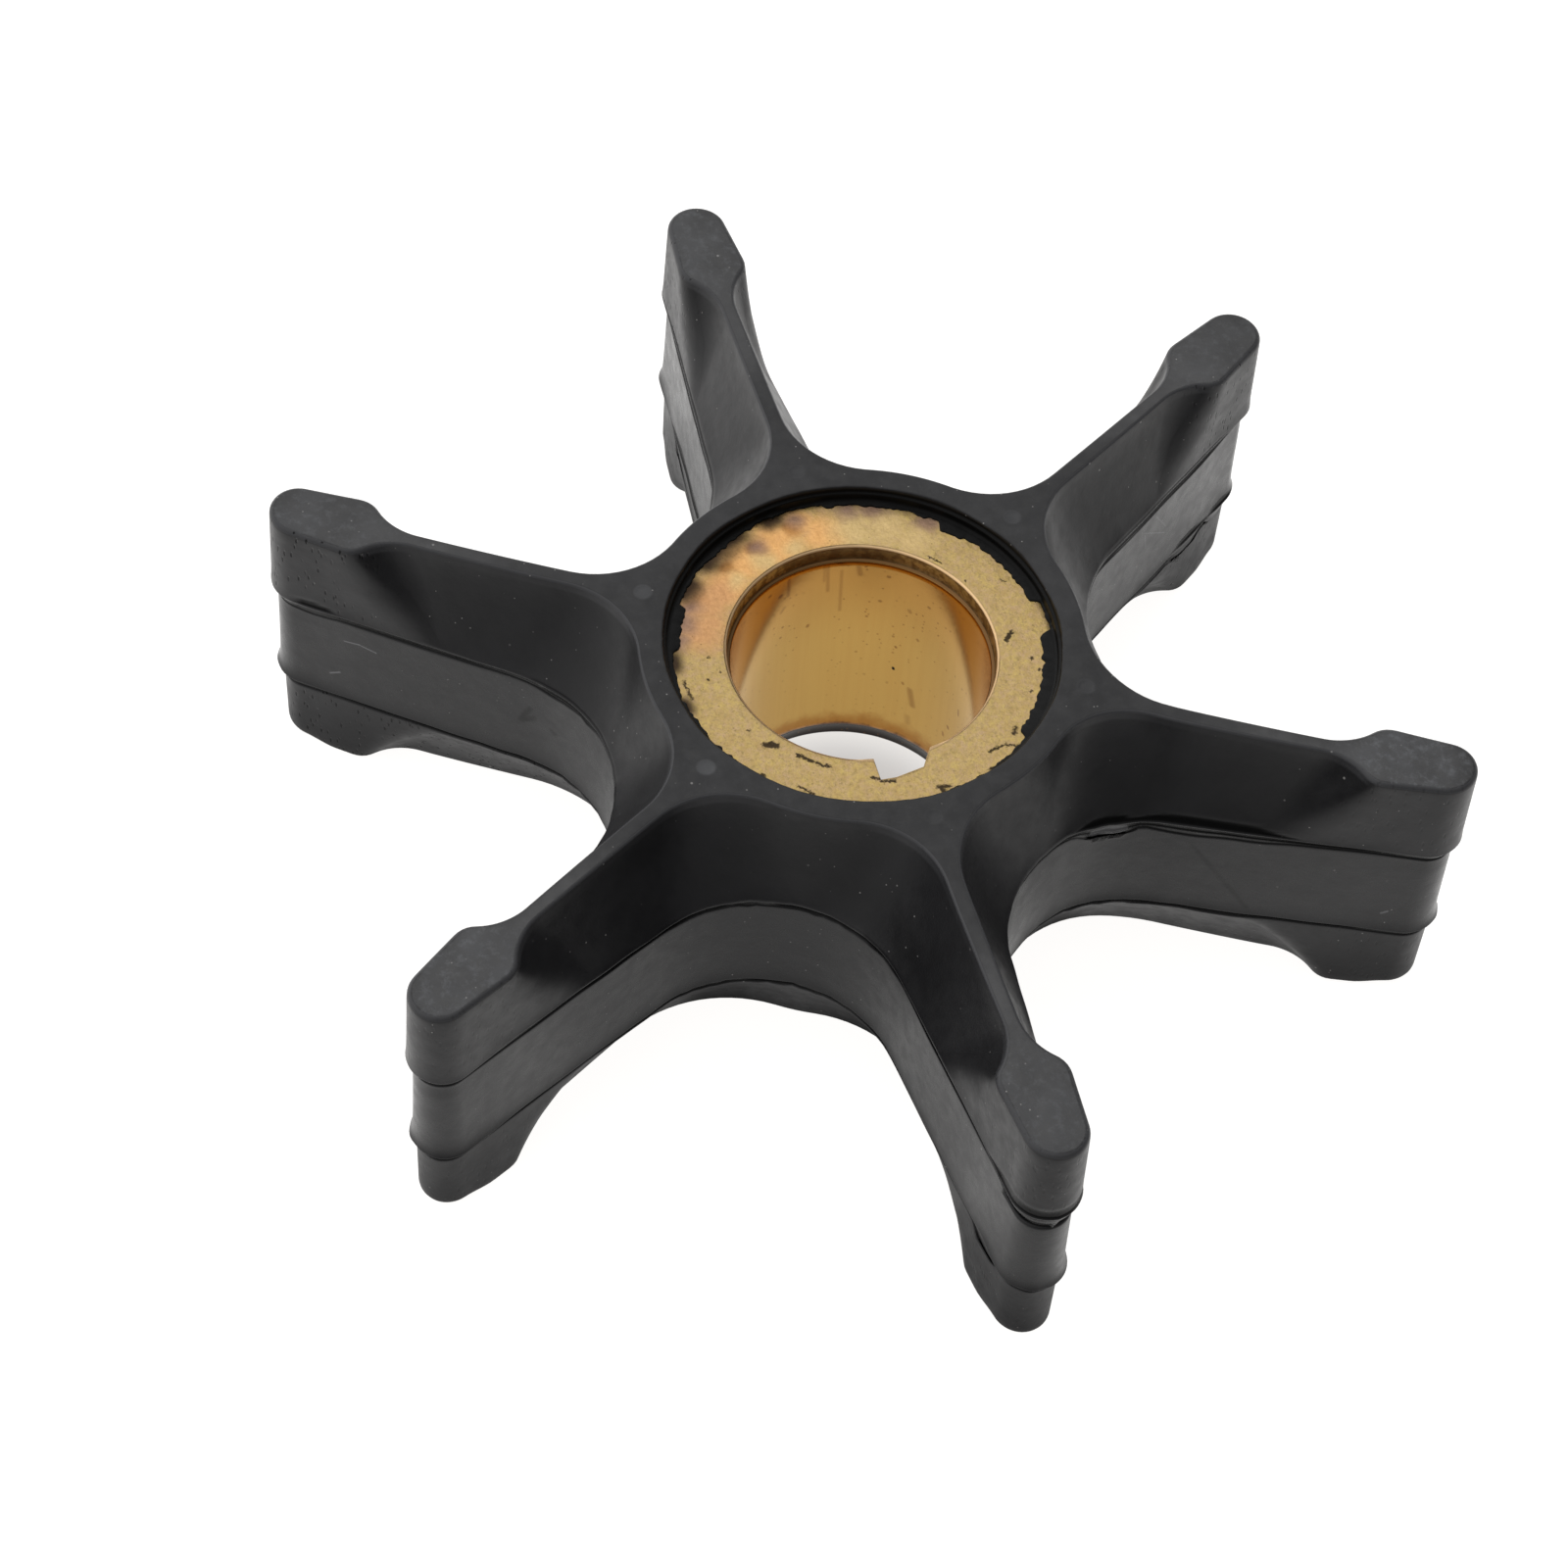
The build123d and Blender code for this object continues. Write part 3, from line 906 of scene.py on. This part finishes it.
def rubbed_pale(place, up):
    """How pale the upper face is: mottled and smudged, and most on the bulbs."""
    mottle = ramp(cloud(place, 0.55, 4, 0.62), 0.42, 0.66)
    smudge = ramp(cloud(place, 1.9, 5, 0.7), 0.46, 0.72)
    rubbed = vane_spots(place, BULB_MIDDLE, BULB_PALENESS, 2.2, 3.2)
    worn = plus(times(mottle, 0.4), times(smudge, 0.7))
    return product([up, worn, plus(rubbed, 0.12)])


def rubber_pits(place, radius, height, bands):
    """Small upright pits in patches, on the ends of the vanes and low down, most at the right."""
    right = along_axis(place, "X")
    pitted = most([ramp(radius, 25.5, 28), ramp(height, 5.6, 4.8)])
    patches = ramp(cloud(place, 0.3, 2, 0.5), 0.32, 0.52)
    dots = grains(millimetres((1, 1, 0.35)), 3.3, 0.9, 0.3)
    return product([dots, *bands, pitted, patches, ramp(right, 12, 0, 0.25, 1)])


def rubber_dust(place):
    """Pale specks of dust, in patches."""
    specks = most([grains(place, 0.9, 0.2, 0.085), grains(place, 2.3, 0.2, 0.13)])
    return product([specks, ramp(cloud(place, 0.12, 1, 0.5), 0.36, 0.6), 0.7])


def rubber_roughness(place, radius, up, in_bands, pale):
    """Glossy flanks between the parting lines; duller in the bands, where it is pale, and on the hub."""
    rough = ramp(cloud(place, 1.1, 4, 0.6), 0.3, 0.7, 0.24, 0.34)
    rough = plus(rough, times(most([in_bands, up]), 0.08))
    rough = plus(rough, times(pale, 0.18))
    hub_top = product([up, ramp(radius, 23, 17)])
    return plus(rough, times(hub_top, 0.22))


def rubber_material():
    """Moulded rubber: black with sootier patches, mottled paler where it rubs, pitted walls, specks of dust;
    painted shade in the recess and creases.
    """
    material = begin(bpy.data.materials.new("moulded_rubber"))
    place = millimetres()
    radius, height = radius_and_height(place)
    facing = facing_up()
    up = ramp(facing, 0.85, 0.98)
    in_bands = most([
        ramp(height, UPPER_LINE, UPPER_LINE + 0.5),
        ramp(height, LOWER_LINE - 0.1, LOWER_LINE - 0.6),
    ])
    sunk = most([ramp(height, HEIGHT - 0.1, HEIGHT - 0.25), ramp(height, 0.25, 0.1)])
    # Painted shade: the recess wall and the torn lip in it are made near black
    recess = times(ramp(radius, 11.0, 10.75), sunk)
    edge = product([
        ramp(facing, 0.15, 0.45), ramp(facing, 0.98, 0.9),
        ramp(height, HEIGHT - 0.6, HEIGHT - 0.4), ramp(radius, 11.5, 12.0, 0, 0.8),
    ])
    pale = rubbed_pale(place, up)
    pits = rubber_pits(place, radius, height, (inverse(up), in_bands))
    smudges = vane_strokes(place, SMUDGES)
    pins = vane_spots(place, PIN_RADIUS, PIN_PALENESS, 0.38, 0.22)
    tab = stroke(place, on_vane(*TAB[0]), on_vane(*TAB[0][:2], *TAB[1]), *TAB[2:])
    # Painted shade in the creases under the lips, kept off the grey tab
    crease = add("Attribute", attribute_name="crease_painted_shade").outputs["Fac"]
    crease = times(crease, inverse(tab))

    soot_and_pocket_shade = cloud(place, 0.16, 2, 0.5)
    colour = blend(ramp(soot_and_pocket_shade, 0.35, 0.65), RUBBER_BLACK, RUBBER_SOOT)
    colour = layered(
        colour, (pale, RUBBER_PALE), (edge, RUBBER_EDGE), (times(pits, 0.85), RUBBER_PIT),
        (rubber_dust(place), RUBBER_DUST), (vane_strokes(place, SCRATCHES), SCRATCH_GREY),
        (smudges, RUBBER_PIT), (times(pins, up), PIN_GREY), (recess, RECESS_SHADE_BLACK),
        (crease, CREASE_SHADE_BLACK), (tab, TAB_GREY),
    )
    # Less reflection painted into the recess and the creases, and where the pits and smudges are
    painted_shade_and_marks = most([recess, crease, times(pits, 0.9), smudges])
    normal = bumps([
        (cloud(place, 0.7, 2, 0.5), 0.03),
        (cloud(place, 5.5, 3, 0.6), 0.005),
        (inverse(pits), 0.035),
    ])
    return finish(material, {
        "Base Color": colour, "Roughness": rubber_roughness(place, radius, up, in_bands, pale),
        "Normal": normal, "Specular IOR Level": RUBBER_SHINE,
        "Specular Tint": ramp(painted_shade_and_marks, 0, 1, 1, 0.3),
    })


def on_face(degrees, radius):
    """Point on the upper face of the bushing."""
    return around(degrees, radius, BUSHING_TOP)


def in_bore(degrees, height):
    """Point on the wall of the bore."""
    return around(degrees, BORE_RADIUS, height)


# Dark nicks in the upper face of the bushing: from degrees and radius, to degrees and radius,
# half width and softness
NICKS = (
    (-55.6, 8.32, -51.6, 7.95, 0.09, 0.16), (-54.5, 8.2, -54.0, 8.0, 0.12, 0.14),
    (-42.8, 7.86, -37.6, 7.88, 0.04, 0.10), (-43.0, 7.88, -42.2, 7.9, 0.08, 0.10),
    (-37.6, 7.9, -32.8, 8.0, 0.04, 0.10), (-37.9, 7.92, -36.8, 7.94, 0.07, 0.10),
    (-33.4, 8.02, -29.2, 7.92, 0.05, 0.09), (-49.3, 10.03, -48.6, 10.0, 0.06, 0.14),
    (-37.3, 9.74, -33.4, 9.87, 0.03, 0.10), (-33.4, 9.87, -32.2, 10.03, 0.05, 0.12),
    (-14.2, 8.4, -11.4, 8.5, 0.03, 0.12), (-11.4, 8.66, -6.2, 8.74, 0.03, 0.10),
    (6.4, 9.7, 9.8, 9.84, 0.05, 0.14), (7.1, 9.75, 7.4, 10.0, 0.09, 0.14),
    (28.6, 9.25, 32.1, 9.4, 0.04, 0.10), (32.1, 9.41, 34.4, 9.55, 0.03, 0.09),
    (34.4, 9.55, 36.5, 10.1, 0.02, 0.10), (80.6, 7.82, 84.2, 8.16, 0.09, 0.10),
    (134.0, 7.64, 131.4, 7.6, 0.02, 0.09), (130.4, 7.6, 128.3, 7.56, 0.03, 0.08),
    (-92.2, 9.8, -85.0, 9.68, 0.02, 0.12), (24.5, 10.1, 25.0, 10.15, 0.08, 0.12),
    (-101.6, 8.22, -101.3, 8.22, 0.02, 0.10), (-93.9, 7.74, -93.7, 7.74, 0.01, 0.09),
    (-91.1, 8.49, -90.9, 8.49, 0.03, 0.10), (-64.4, 8.23, -64.0, 8.2, 0.02, 0.12),
    (114.8, 7.62, 114.5, 7.6, 0.02, 0.09), (107.8, 9.19, 106.1, 9.32, 0.01, 0.08),
    (72.6, 9.1, 71.9, 9.05, 0.03, 0.10), (67.7, 9.46, 67.3, 9.46, 0.02, 0.10),
    (39.7, 9.5, 42.0, 9.4, 0.03, 0.18), (58.3, 9.27, 57.8, 9.27, 0.02, 0.12),
)

# Stains of the bore: from degrees and height, to degrees and height, half width, softness, share
BORE_STAINS = (
    (142.4, 7.7, 142.2, 7.6, 0.07, 0.07, 1.0), (142.4, 9.6, 142.2, 9.55, 0.04, 0.10, 0.8),
    (137.0, 6.7, 136.8, 6.6, 0.03, 0.12, 0.6), (132.9, 6.3, 130.8, 5.1, 0.06, 0.28, 0.55),
    (132.6, 3.9, 132.0, 3.4, 0.03, 0.30, 0.3), (109.0, 5.6, 108.7, 5.5, 0.05, 0.12, 0.7),
    (111.7, 4.7, 111.4, 4.5, 0.04, 0.12, 0.6), (103.2, 7.9, 102.7, 7.5, 0.02, 0.10, 0.7),
    (149.3, 15.4, 149.0, 15.4, 0.07, 0.12, 0.8), (152.0, 13.2, 151.8, 13.2, 0.06, 0.12, 0.7),
    (137.9, 13.1, 137.5, 13.0, 0.05, 0.16, 0.5), (128.7, 14.1, 128.3, 14.1, 0.05, 0.12, 0.7),
    (132.3, 10.95, 132.0, 10.9, 0.04, 0.12, 0.6), (-160.0, 14.9, -159.6, 14.9, 0.09, 0.14, 0.8),
    (-153.5, 15.5, -153.0, 15.5, 0.07, 0.14, 0.7), (-175.7, 11.3, -175.5, 11.2, 0.05, 0.12, 0.7),
    (-162.5, 13.7, -161.0, 13.4, 0.03, 0.16, 0.4), (177.1, 16.1, 176.2, 14.0, 0.03, 0.16, 0.45),
    (178.6, 16.1, 178.3, 14.9, 0.02, 0.14, 0.35), (170.5, 15.6, 169.8, 12.2, 0.01, 0.16, 0.4),
    (-163.9, 16.0, -164.2, 14.6, 0.04, 0.16, 0.6), (163.0, 15.9, 162.0, 15.3, 0.05, 0.22, 0.6),
)

BRASS_FACE = (0.335, 0.235, 0.098)
BRASS_YELLOW = (0.410, 0.305, 0.110)
BRASS_PINK = (0.375, 0.262, 0.150)
BRASS_DULL = (0.255, 0.185, 0.085)
BRASS_CREAM = (0.45, 0.33, 0.155)
COPPER = (0.56, 0.31, 0.12)
ROSE = (0.42, 0.23, 0.105)
RUST = (0.27, 0.115, 0.03)
MAUVE = (0.20, 0.125, 0.095)
EDGE_DARK = (0.022, 0.014, 0.011)
BRASS_BORE = (0.70, 0.44, 0.125)
BORE_AMBER = (0.60, 0.31, 0.075)
BURNT = (0.10, 0.032, 0.008)
GRIME = (0.016, 0.011, 0.008)
STAIN = (0.30, 0.135, 0.035)
BRASS_OLIVE = (0.22, 0.165, 0.065)
BRASS_FLECK = (0.07, 0.05, 0.02)
FOOT_TINT = (0.42, 0.17, 0.03)
LEAD_DARK = (0.26, 0.18, 0.08)
LEAD_PALE = (0.52, 0.40, 0.19)
LEAD_DULL = (0.13, 0.085, 0.045)
LEDGE_SHADE_BROWN = (0.14, 0.075, 0.03)
RIM_PAINTED_HIGHLIGHT = (0.70, 0.48, 0.26)

# Heat tints of the upper face of the bushing: colour, strength and patches, each with its
# degrees, radius, half size and softness
TINTS = (
    (COPPER, 0.85, (
        (-165, 8.6, 0.4, 1.3), (178, 8.3, 0.3, 1.1), (-150, 8.7, 0.4, 1.2), (-176, 9.3, 0.2, 0.8),
        (-138, 8.4, 0.3, 1.1), (-161, 7.6, 0.1, 0.6),
    )),
    (RUST, 0.7, (
        (-172, 9.1, 0.15, 0.35), (-157, 9.0, 0.2, 0.35), (-143, 9.0, 0.2, 0.3), (-127, 9.2, 0.15, 0.3),
    )),
    (ROSE, 0.9, (
        (-125, 8.9, 0.5, 1.1), (-113, 8.7, 0.4, 1.1), (-118, 8.2, 0.2, 0.8), (-132, 8.4, 0.3, 0.8),
    )),
    (BRASS_CREAM, 0.8, (
        (-156, 7.95, 0.1, 0.7), (166, 8.4, 0.2, 1.1), (154, 8.7, 0.2, 1.0), (-141, 8.1, 0.1, 0.5),
        (-170, 7.9, 0.1, 0.5), (142, 8.4, 0.1, 0.9),
    )),
    (MAUVE, 0.85, (
        (-116, 9.8, 0.25, 0.7), (-108, 9.9, 0.15, 0.6), (167, 9.75, 0.1, 0.6), (159, 10.0, 0.2, 0.6),
        (-175, 9.5, 0.05, 0.5), (141, 9.95, 0.2, 0.5), (-158, 9.0, 0.02, 0.5), (-122, 9.5, 0.1, 0.5),
    )),
)
# Darker spots along the outer edge of that face: degrees, radius, half size and softness
DARK_EDGE_SPOTS = ((-148, 9.9, 1.3, 1.2), (-129, 10.0, 0.5, 0.9), (-168, 10.1, 0.3, 0.9),
          (-100, 10.3, 0.4, 0.9), (-83, 10.3, 0.3, 0.7))


def face_spots(place, table, softer=1.0):
    """Spots on the upper face of the bushing."""
    return most((spot(place, on_face(a, r), half, softer * soft) for a, r, half, soft in table))


def brass_face_colour(place, radius, grain):
    """Granular end face: olive and pinkish blotches, a heat-tinted patch, darker spots along its outer edge
    and flecks.
    """
    yellowed = cloud(place, 2.2, 5, 0.8)
    pinkish = cloud(vectors("ADD", place, (31, 17, 5)), 2.6, 5, 0.8)
    olive = ramp(cloud(place, 4.5, 4, 0.75), 0.50, 0.70, 0, 0.8)
    strayed = stray(place, 0.9, 0.7, 0.5)
    colour = layered(
        BRASS_FACE, (ramp(yellowed, 0.38, 0.66), BRASS_YELLOW), (ramp(pinkish, 0.42, 0.68), BRASS_PINK),
        (olive, BRASS_OLIVE), (ramp(grain, 0.52, 0.34, 0, 1), BRASS_DULL),
        *((times(face_spots(strayed, patches, 1.7), strength), tint) for tint, strength, patches in TINTS),
    )
    wander = ramp(cloud(place, 0.45, 2, 0.5), 0.3, 0.7, -0.2, 0.2)
    rim = ramp(plus(radius, wander), 8.8, 10.05)
    darkened_edge = product([face_spots(place, DARK_EDGE_SPOTS), rim, 0.94])
    fleck = most([grains(place, 1.5, 0.14, 0.11), grains(place, 3.1, 0.10, 0.16)])
    return layered(colour, (darkened_edge, EDGE_DARK), (times(fleck, 0.55), BRASS_FLECK))


def brass_nicks(place):
    """1 in the dark nicks of the upper face, with ragged edges."""
    strayed = stray(place, 5.0, 0.4, 3.0)
    return most((
        stroke(strayed, on_face(a, r), on_face(b, q), half, soft)
        for a, r, b, q, half, soft in NICKS
    ))


def bore_wall(place, height, streak):
    """Turned bore: amber towards the top, a heat tint and a dark line at the foot, brown stains."""
    edge = plus(height, ramp(cloud(place, 0.9, 3, 0.6), 0.2, 0.8, -0.3, 0.3))
    foot = BUSHING_FOOT + LEAD_DEPTH
    specks = most([grains(place, 1.2, 0.45, 0.15), grains(place, 2.6, 0.4, 0.22)])
    colour = layered(
        BRASS_BORE, (ramp(streak, 0.4, 0.65, 0.0, 0.12), BORE_AMBER),
        (ramp(height, 9.0, 16.4, 0, 0.8), BORE_AMBER),
        (ramp(edge, foot + 1.7, foot + 0.4, 0, 0.8), FOOT_TINT), (ramp(edge, foot + 0.45, foot), BURNT),
        (ramp(height, foot + 0.2, foot + 0.1), GRIME),
        (times(specks, ramp(height, 4.0, 15.0, 0.25, 0.75)), STAIN),
    )
    for a, low, b, high, half, soft, share in BORE_STAINS:
        mark = stroke(place, in_bore(a, low), in_bore(b, high), 0.7 * half, soft)
        colour = layered(colour, (times(mark, share), STAIN if share < 1 else GRIME))
    return colour


def brass_bore_colour(place, height, streak):
    """The bore, and over it the blotched wall of the lead-in, with painted shade on its ledge and a painted
    highlight on its rim.
    """
    blotch = cloud(place, 2.2, 3, 0.6)
    lead_in = blend(ramp(blotch, 0.40, 0.60), LEAD_DARK, LEAD_PALE)
    dulled = spot(place, in_bore(172, BUSHING_TOP), 2.2, 2.0)
    lead_in = blend(times(dulled, 0.7), lead_in, LEAD_DULL)
    ledge = BUSHING_TOP - LEAD_DEPTH
    bore = bore_wall(place, height, streak)
    colour = blend(ramp(height, ledge + 0.01, ledge + 0.05), bore, lead_in)
    # Painted shade along the ledge at the foot of the lead-in
    on_ledge = product([
        ramp(height, ledge - 0.06, ledge - 0.02), ramp(height, ledge + 0.06, ledge + 0.03),
    ])
    colour = blend(on_ledge, colour, LEDGE_SHADE_BROWN)
    # Painted highlight along the rim at the top of the lead-in
    return blend(ramp(height, BUSHING_TOP - 0.16, BUSHING_TOP - 0.08), colour, RIM_PAINTED_HIGHLIGHT)


def brass_material():
    """Sawn and tarnished brass: granular faces and a turned bore with heat tints at its ends."""
    material = begin(bpy.data.materials.new("worn_brass"))
    place = millimetres()
    radius, height = radius_and_height(place)
    level = ramp(maths("ABSOLUTE", facing_up()), 0.6, 0.9)
    flat = times(level, ramp(radius, 7.3, 7.4))
    turned = inverse(flat)
    grain = cloud(place, 4.2, 4, 0.75)
    streak = cloud(millimetres((1, 1, 0.03)), 3.0, 3, 0.6)

    nicks = times(brass_nicks(place), 0.93)
    face = blend(nicks, brass_face_colour(place, radius, grain), GRIME)
    colour = blend(flat, brass_bore_colour(place, height, streak), face)
    ledge = BUSHING_TOP - LEAD_DEPTH
    bore_rough = ramp(height, ledge - 0.02, ledge + 0.02, 0.17, 0.42)
    face_rough = ramp(grain, 0.3, 0.7, 0.52, 0.64)
    rough = plus(times(flat, face_rough), times(turned, bore_rough))
    normal = bumps([
        (times(grain, flat), 0.022),
        (times(cloud(place, 1.1, 3, 0.6), flat), 0.07),
        (times(streak, turned), 0.0007),
        (times(cloud(place, 1.4, 2, 0.5), turned), 0.003),
    ])
    return finish(material, {
        "Base Color": colour, "Roughness": rough, "Metallic": 1.0, "Normal": normal,
    })


# Camera, solved from the part's outline: heights and turns in degrees, offsets in millimetres
VIEW_HEIGHT = math.radians(53.462)
VIEW_TURN = math.radians(69.168)
VIEW_ROLL = math.radians(-4.851)
STAND_OFF = Vector((3.285, 3.22, 220.536))   # the part's origin, to the right, down and away
FOCAL_PIXELS = 3957.5
FRAME_PIXELS = 1600
SENSOR = 36.0


def make_camera():
    """Camera at the photograph's angle."""
    forward = Vector((0, math.cos(VIEW_HEIGHT), -math.sin(VIEW_HEIGHT)))
    right = Vector((1, 0, 0))
    down = forward.cross(right)
    c, s = math.cos(VIEW_ROLL), math.sin(VIEW_ROLL)
    rolled_right = right * c + down * s
    rolled_down = down * c - right * s
    place = -(rolled_right * STAND_OFF.x + rolled_down * STAND_OFF.y + forward * STAND_OFF.z)
    axes = Matrix((rolled_right, -rolled_down, -forward)).transposed().to_4x4()
    axes.translation = place * MM
    data = bpy.data.cameras.new("photo_camera")
    data.sensor_width = SENSOR
    data.lens = FOCAL_PIXELS / FRAME_PIXELS * SENSOR
    data.clip_start, data.clip_end = 0.01, 20
    camera = bpy.context.scene.camera = show("photo_camera", data)
    camera.matrix_world = Matrix.Rotation(VIEW_TURN, 4, "Z") @ axes


# Glow of the white table, and of the part of it that lies in shadow under the bore
TABLE_GLOW = 0.97
HOLE_GLOW = 0.52
# The light that the table throws back is less under the vanes and between those at the front
UNDER_SHADOW = 0.66
CLOSE_SHADOW = 0.7           # under the vanes themselves
HUB_SHADOW = 0.35            # and in a ring under the hub
FRONT_SHADOW = 0.65          # and in spots between the front vanes: x, y, half size and softness
FRONT_SPOTS = ((14, -6, 6, 7), (24, 6, 4, 6), (30, -2, 3, 5))
VANE_SHADE_FROM, VANE_SHADE_TO = 13.5, 30
FRONT = (0.93, -0.36, 0)     # towards the front, where less of the table is lit
FRONT_GLOW = 0.4
TABLE_HALF, TABLE_DROP = 1.5, 0.0002    # metres
TABLE_GREY = (0.22, 0.22, 0.22, 1)
TABLE_WARM = (1, 0.985, 0.97, 1)


def table_material():
    """White table that glows evenly in the picture, and less where the part stands in its light."""
    material = begin(bpy.data.materials.new("white_table"))
    place = millimetres()
    radius, _ = radius_and_height(place)
    shown = ramp(radius, 5.0, 10.5, HOLE_GLOW, TABLE_GLOW)
    under = most((
        stroke(place, around(a, VANE_SHADE_FROM, 0), around(a, VANE_SHADE_TO, 0), 3.2, 4.2)
        for a in range(0, 360, 60)
    ))
    ring = times(ramp(radius, 8.8, 10.5), ramp(radius, 15.5, 13))
    between = most((spot(place, (x, y, 0), half, soft) for x, y, half, soft in FRONT_SPOTS))
    cast = product([
        shown, ramp(under, 0, 1, 1, UNDER_SHADOW), ramp(under, 0.75, 1, 1, CLOSE_SHADOW),
        ramp(ring, 0, 1, 1, HUB_SHADOW), ramp(between, 0, 1, 1, FRONT_SHADOW),
        ramp(vectors("DOT_PRODUCT", place, FRONT), 26, 58, 1, FRONT_GLOW),
    ])
    seen = add("LightPath").outputs["Is Camera Ray"]
    return finish(material, {
        "Base Color": TABLE_GREY, "Roughness": 0.9, "Emission Color": TABLE_WARM,
        "Emission Strength": ramp(seen, 0, 1, cast, shown),
    })


def make_floor():
    mesh = bpy.data.meshes.new("floor")
    corners = [(x * TABLE_HALF, y * TABLE_HALF, 0) for x, y in ((-1, -1), (1, -1), (1, 1), (-1, 1))]
    mesh.from_pydata(corners, [], [(0, 1, 2, 3)])
    mesh.materials.append(table_material())
    floor = show("floor", mesh)
    floor.location.z = -TABLE_DROP


# Where the studio is brightest, seen from the camera: to the left, behind and above
BRIGHT_SIDE = Matrix.Rotation(VIEW_TURN, 3, "Z") @ Vector((-0.74, 0.40, 0.54)).normalized()


def make_world():
    bpy.context.scene.world = begin(bpy.data.worlds.new("studio"))
    place = add("TexCoord").outputs["Generated"]
    toward = vectors("DOT_PRODUCT", place, BRIGHT_SIDE)
    strength = ramp(toward, -0.35, 0.95, 0.24, 1.3)
    light = add("Background", {"Color": (1, 1, 1, 1), "Strength": strength})
    add("OutputWorld", {"Surface": light.outputs[0]})


def make_light(name, place, size, power):
    data = bpy.data.lights.new(name, "AREA")
    data.shape = "DISK"
    data.size = size
    data.energy = power
    light = show(name, data)
    light.location = place
    light.rotation_euler = (-Vector(place)).to_track_quat("-Z", "Y").to_euler()


make_camera()
make_floor()
make_world()
make_light("overhead", (-0.3, 0.12, 0.6), 0.5, 1.5)

bpy.context.scene.view_settings.view_transform = "Standard"

rubber = rubber_mesh(rubber_material())
brass = brass_mesh(brass_material())
for piece, node, slot in ((rubber, "rubber_impeller", "rubber"), (brass, "brass_bushing", "brass")):
    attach(piece, "root")
    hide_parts(node)
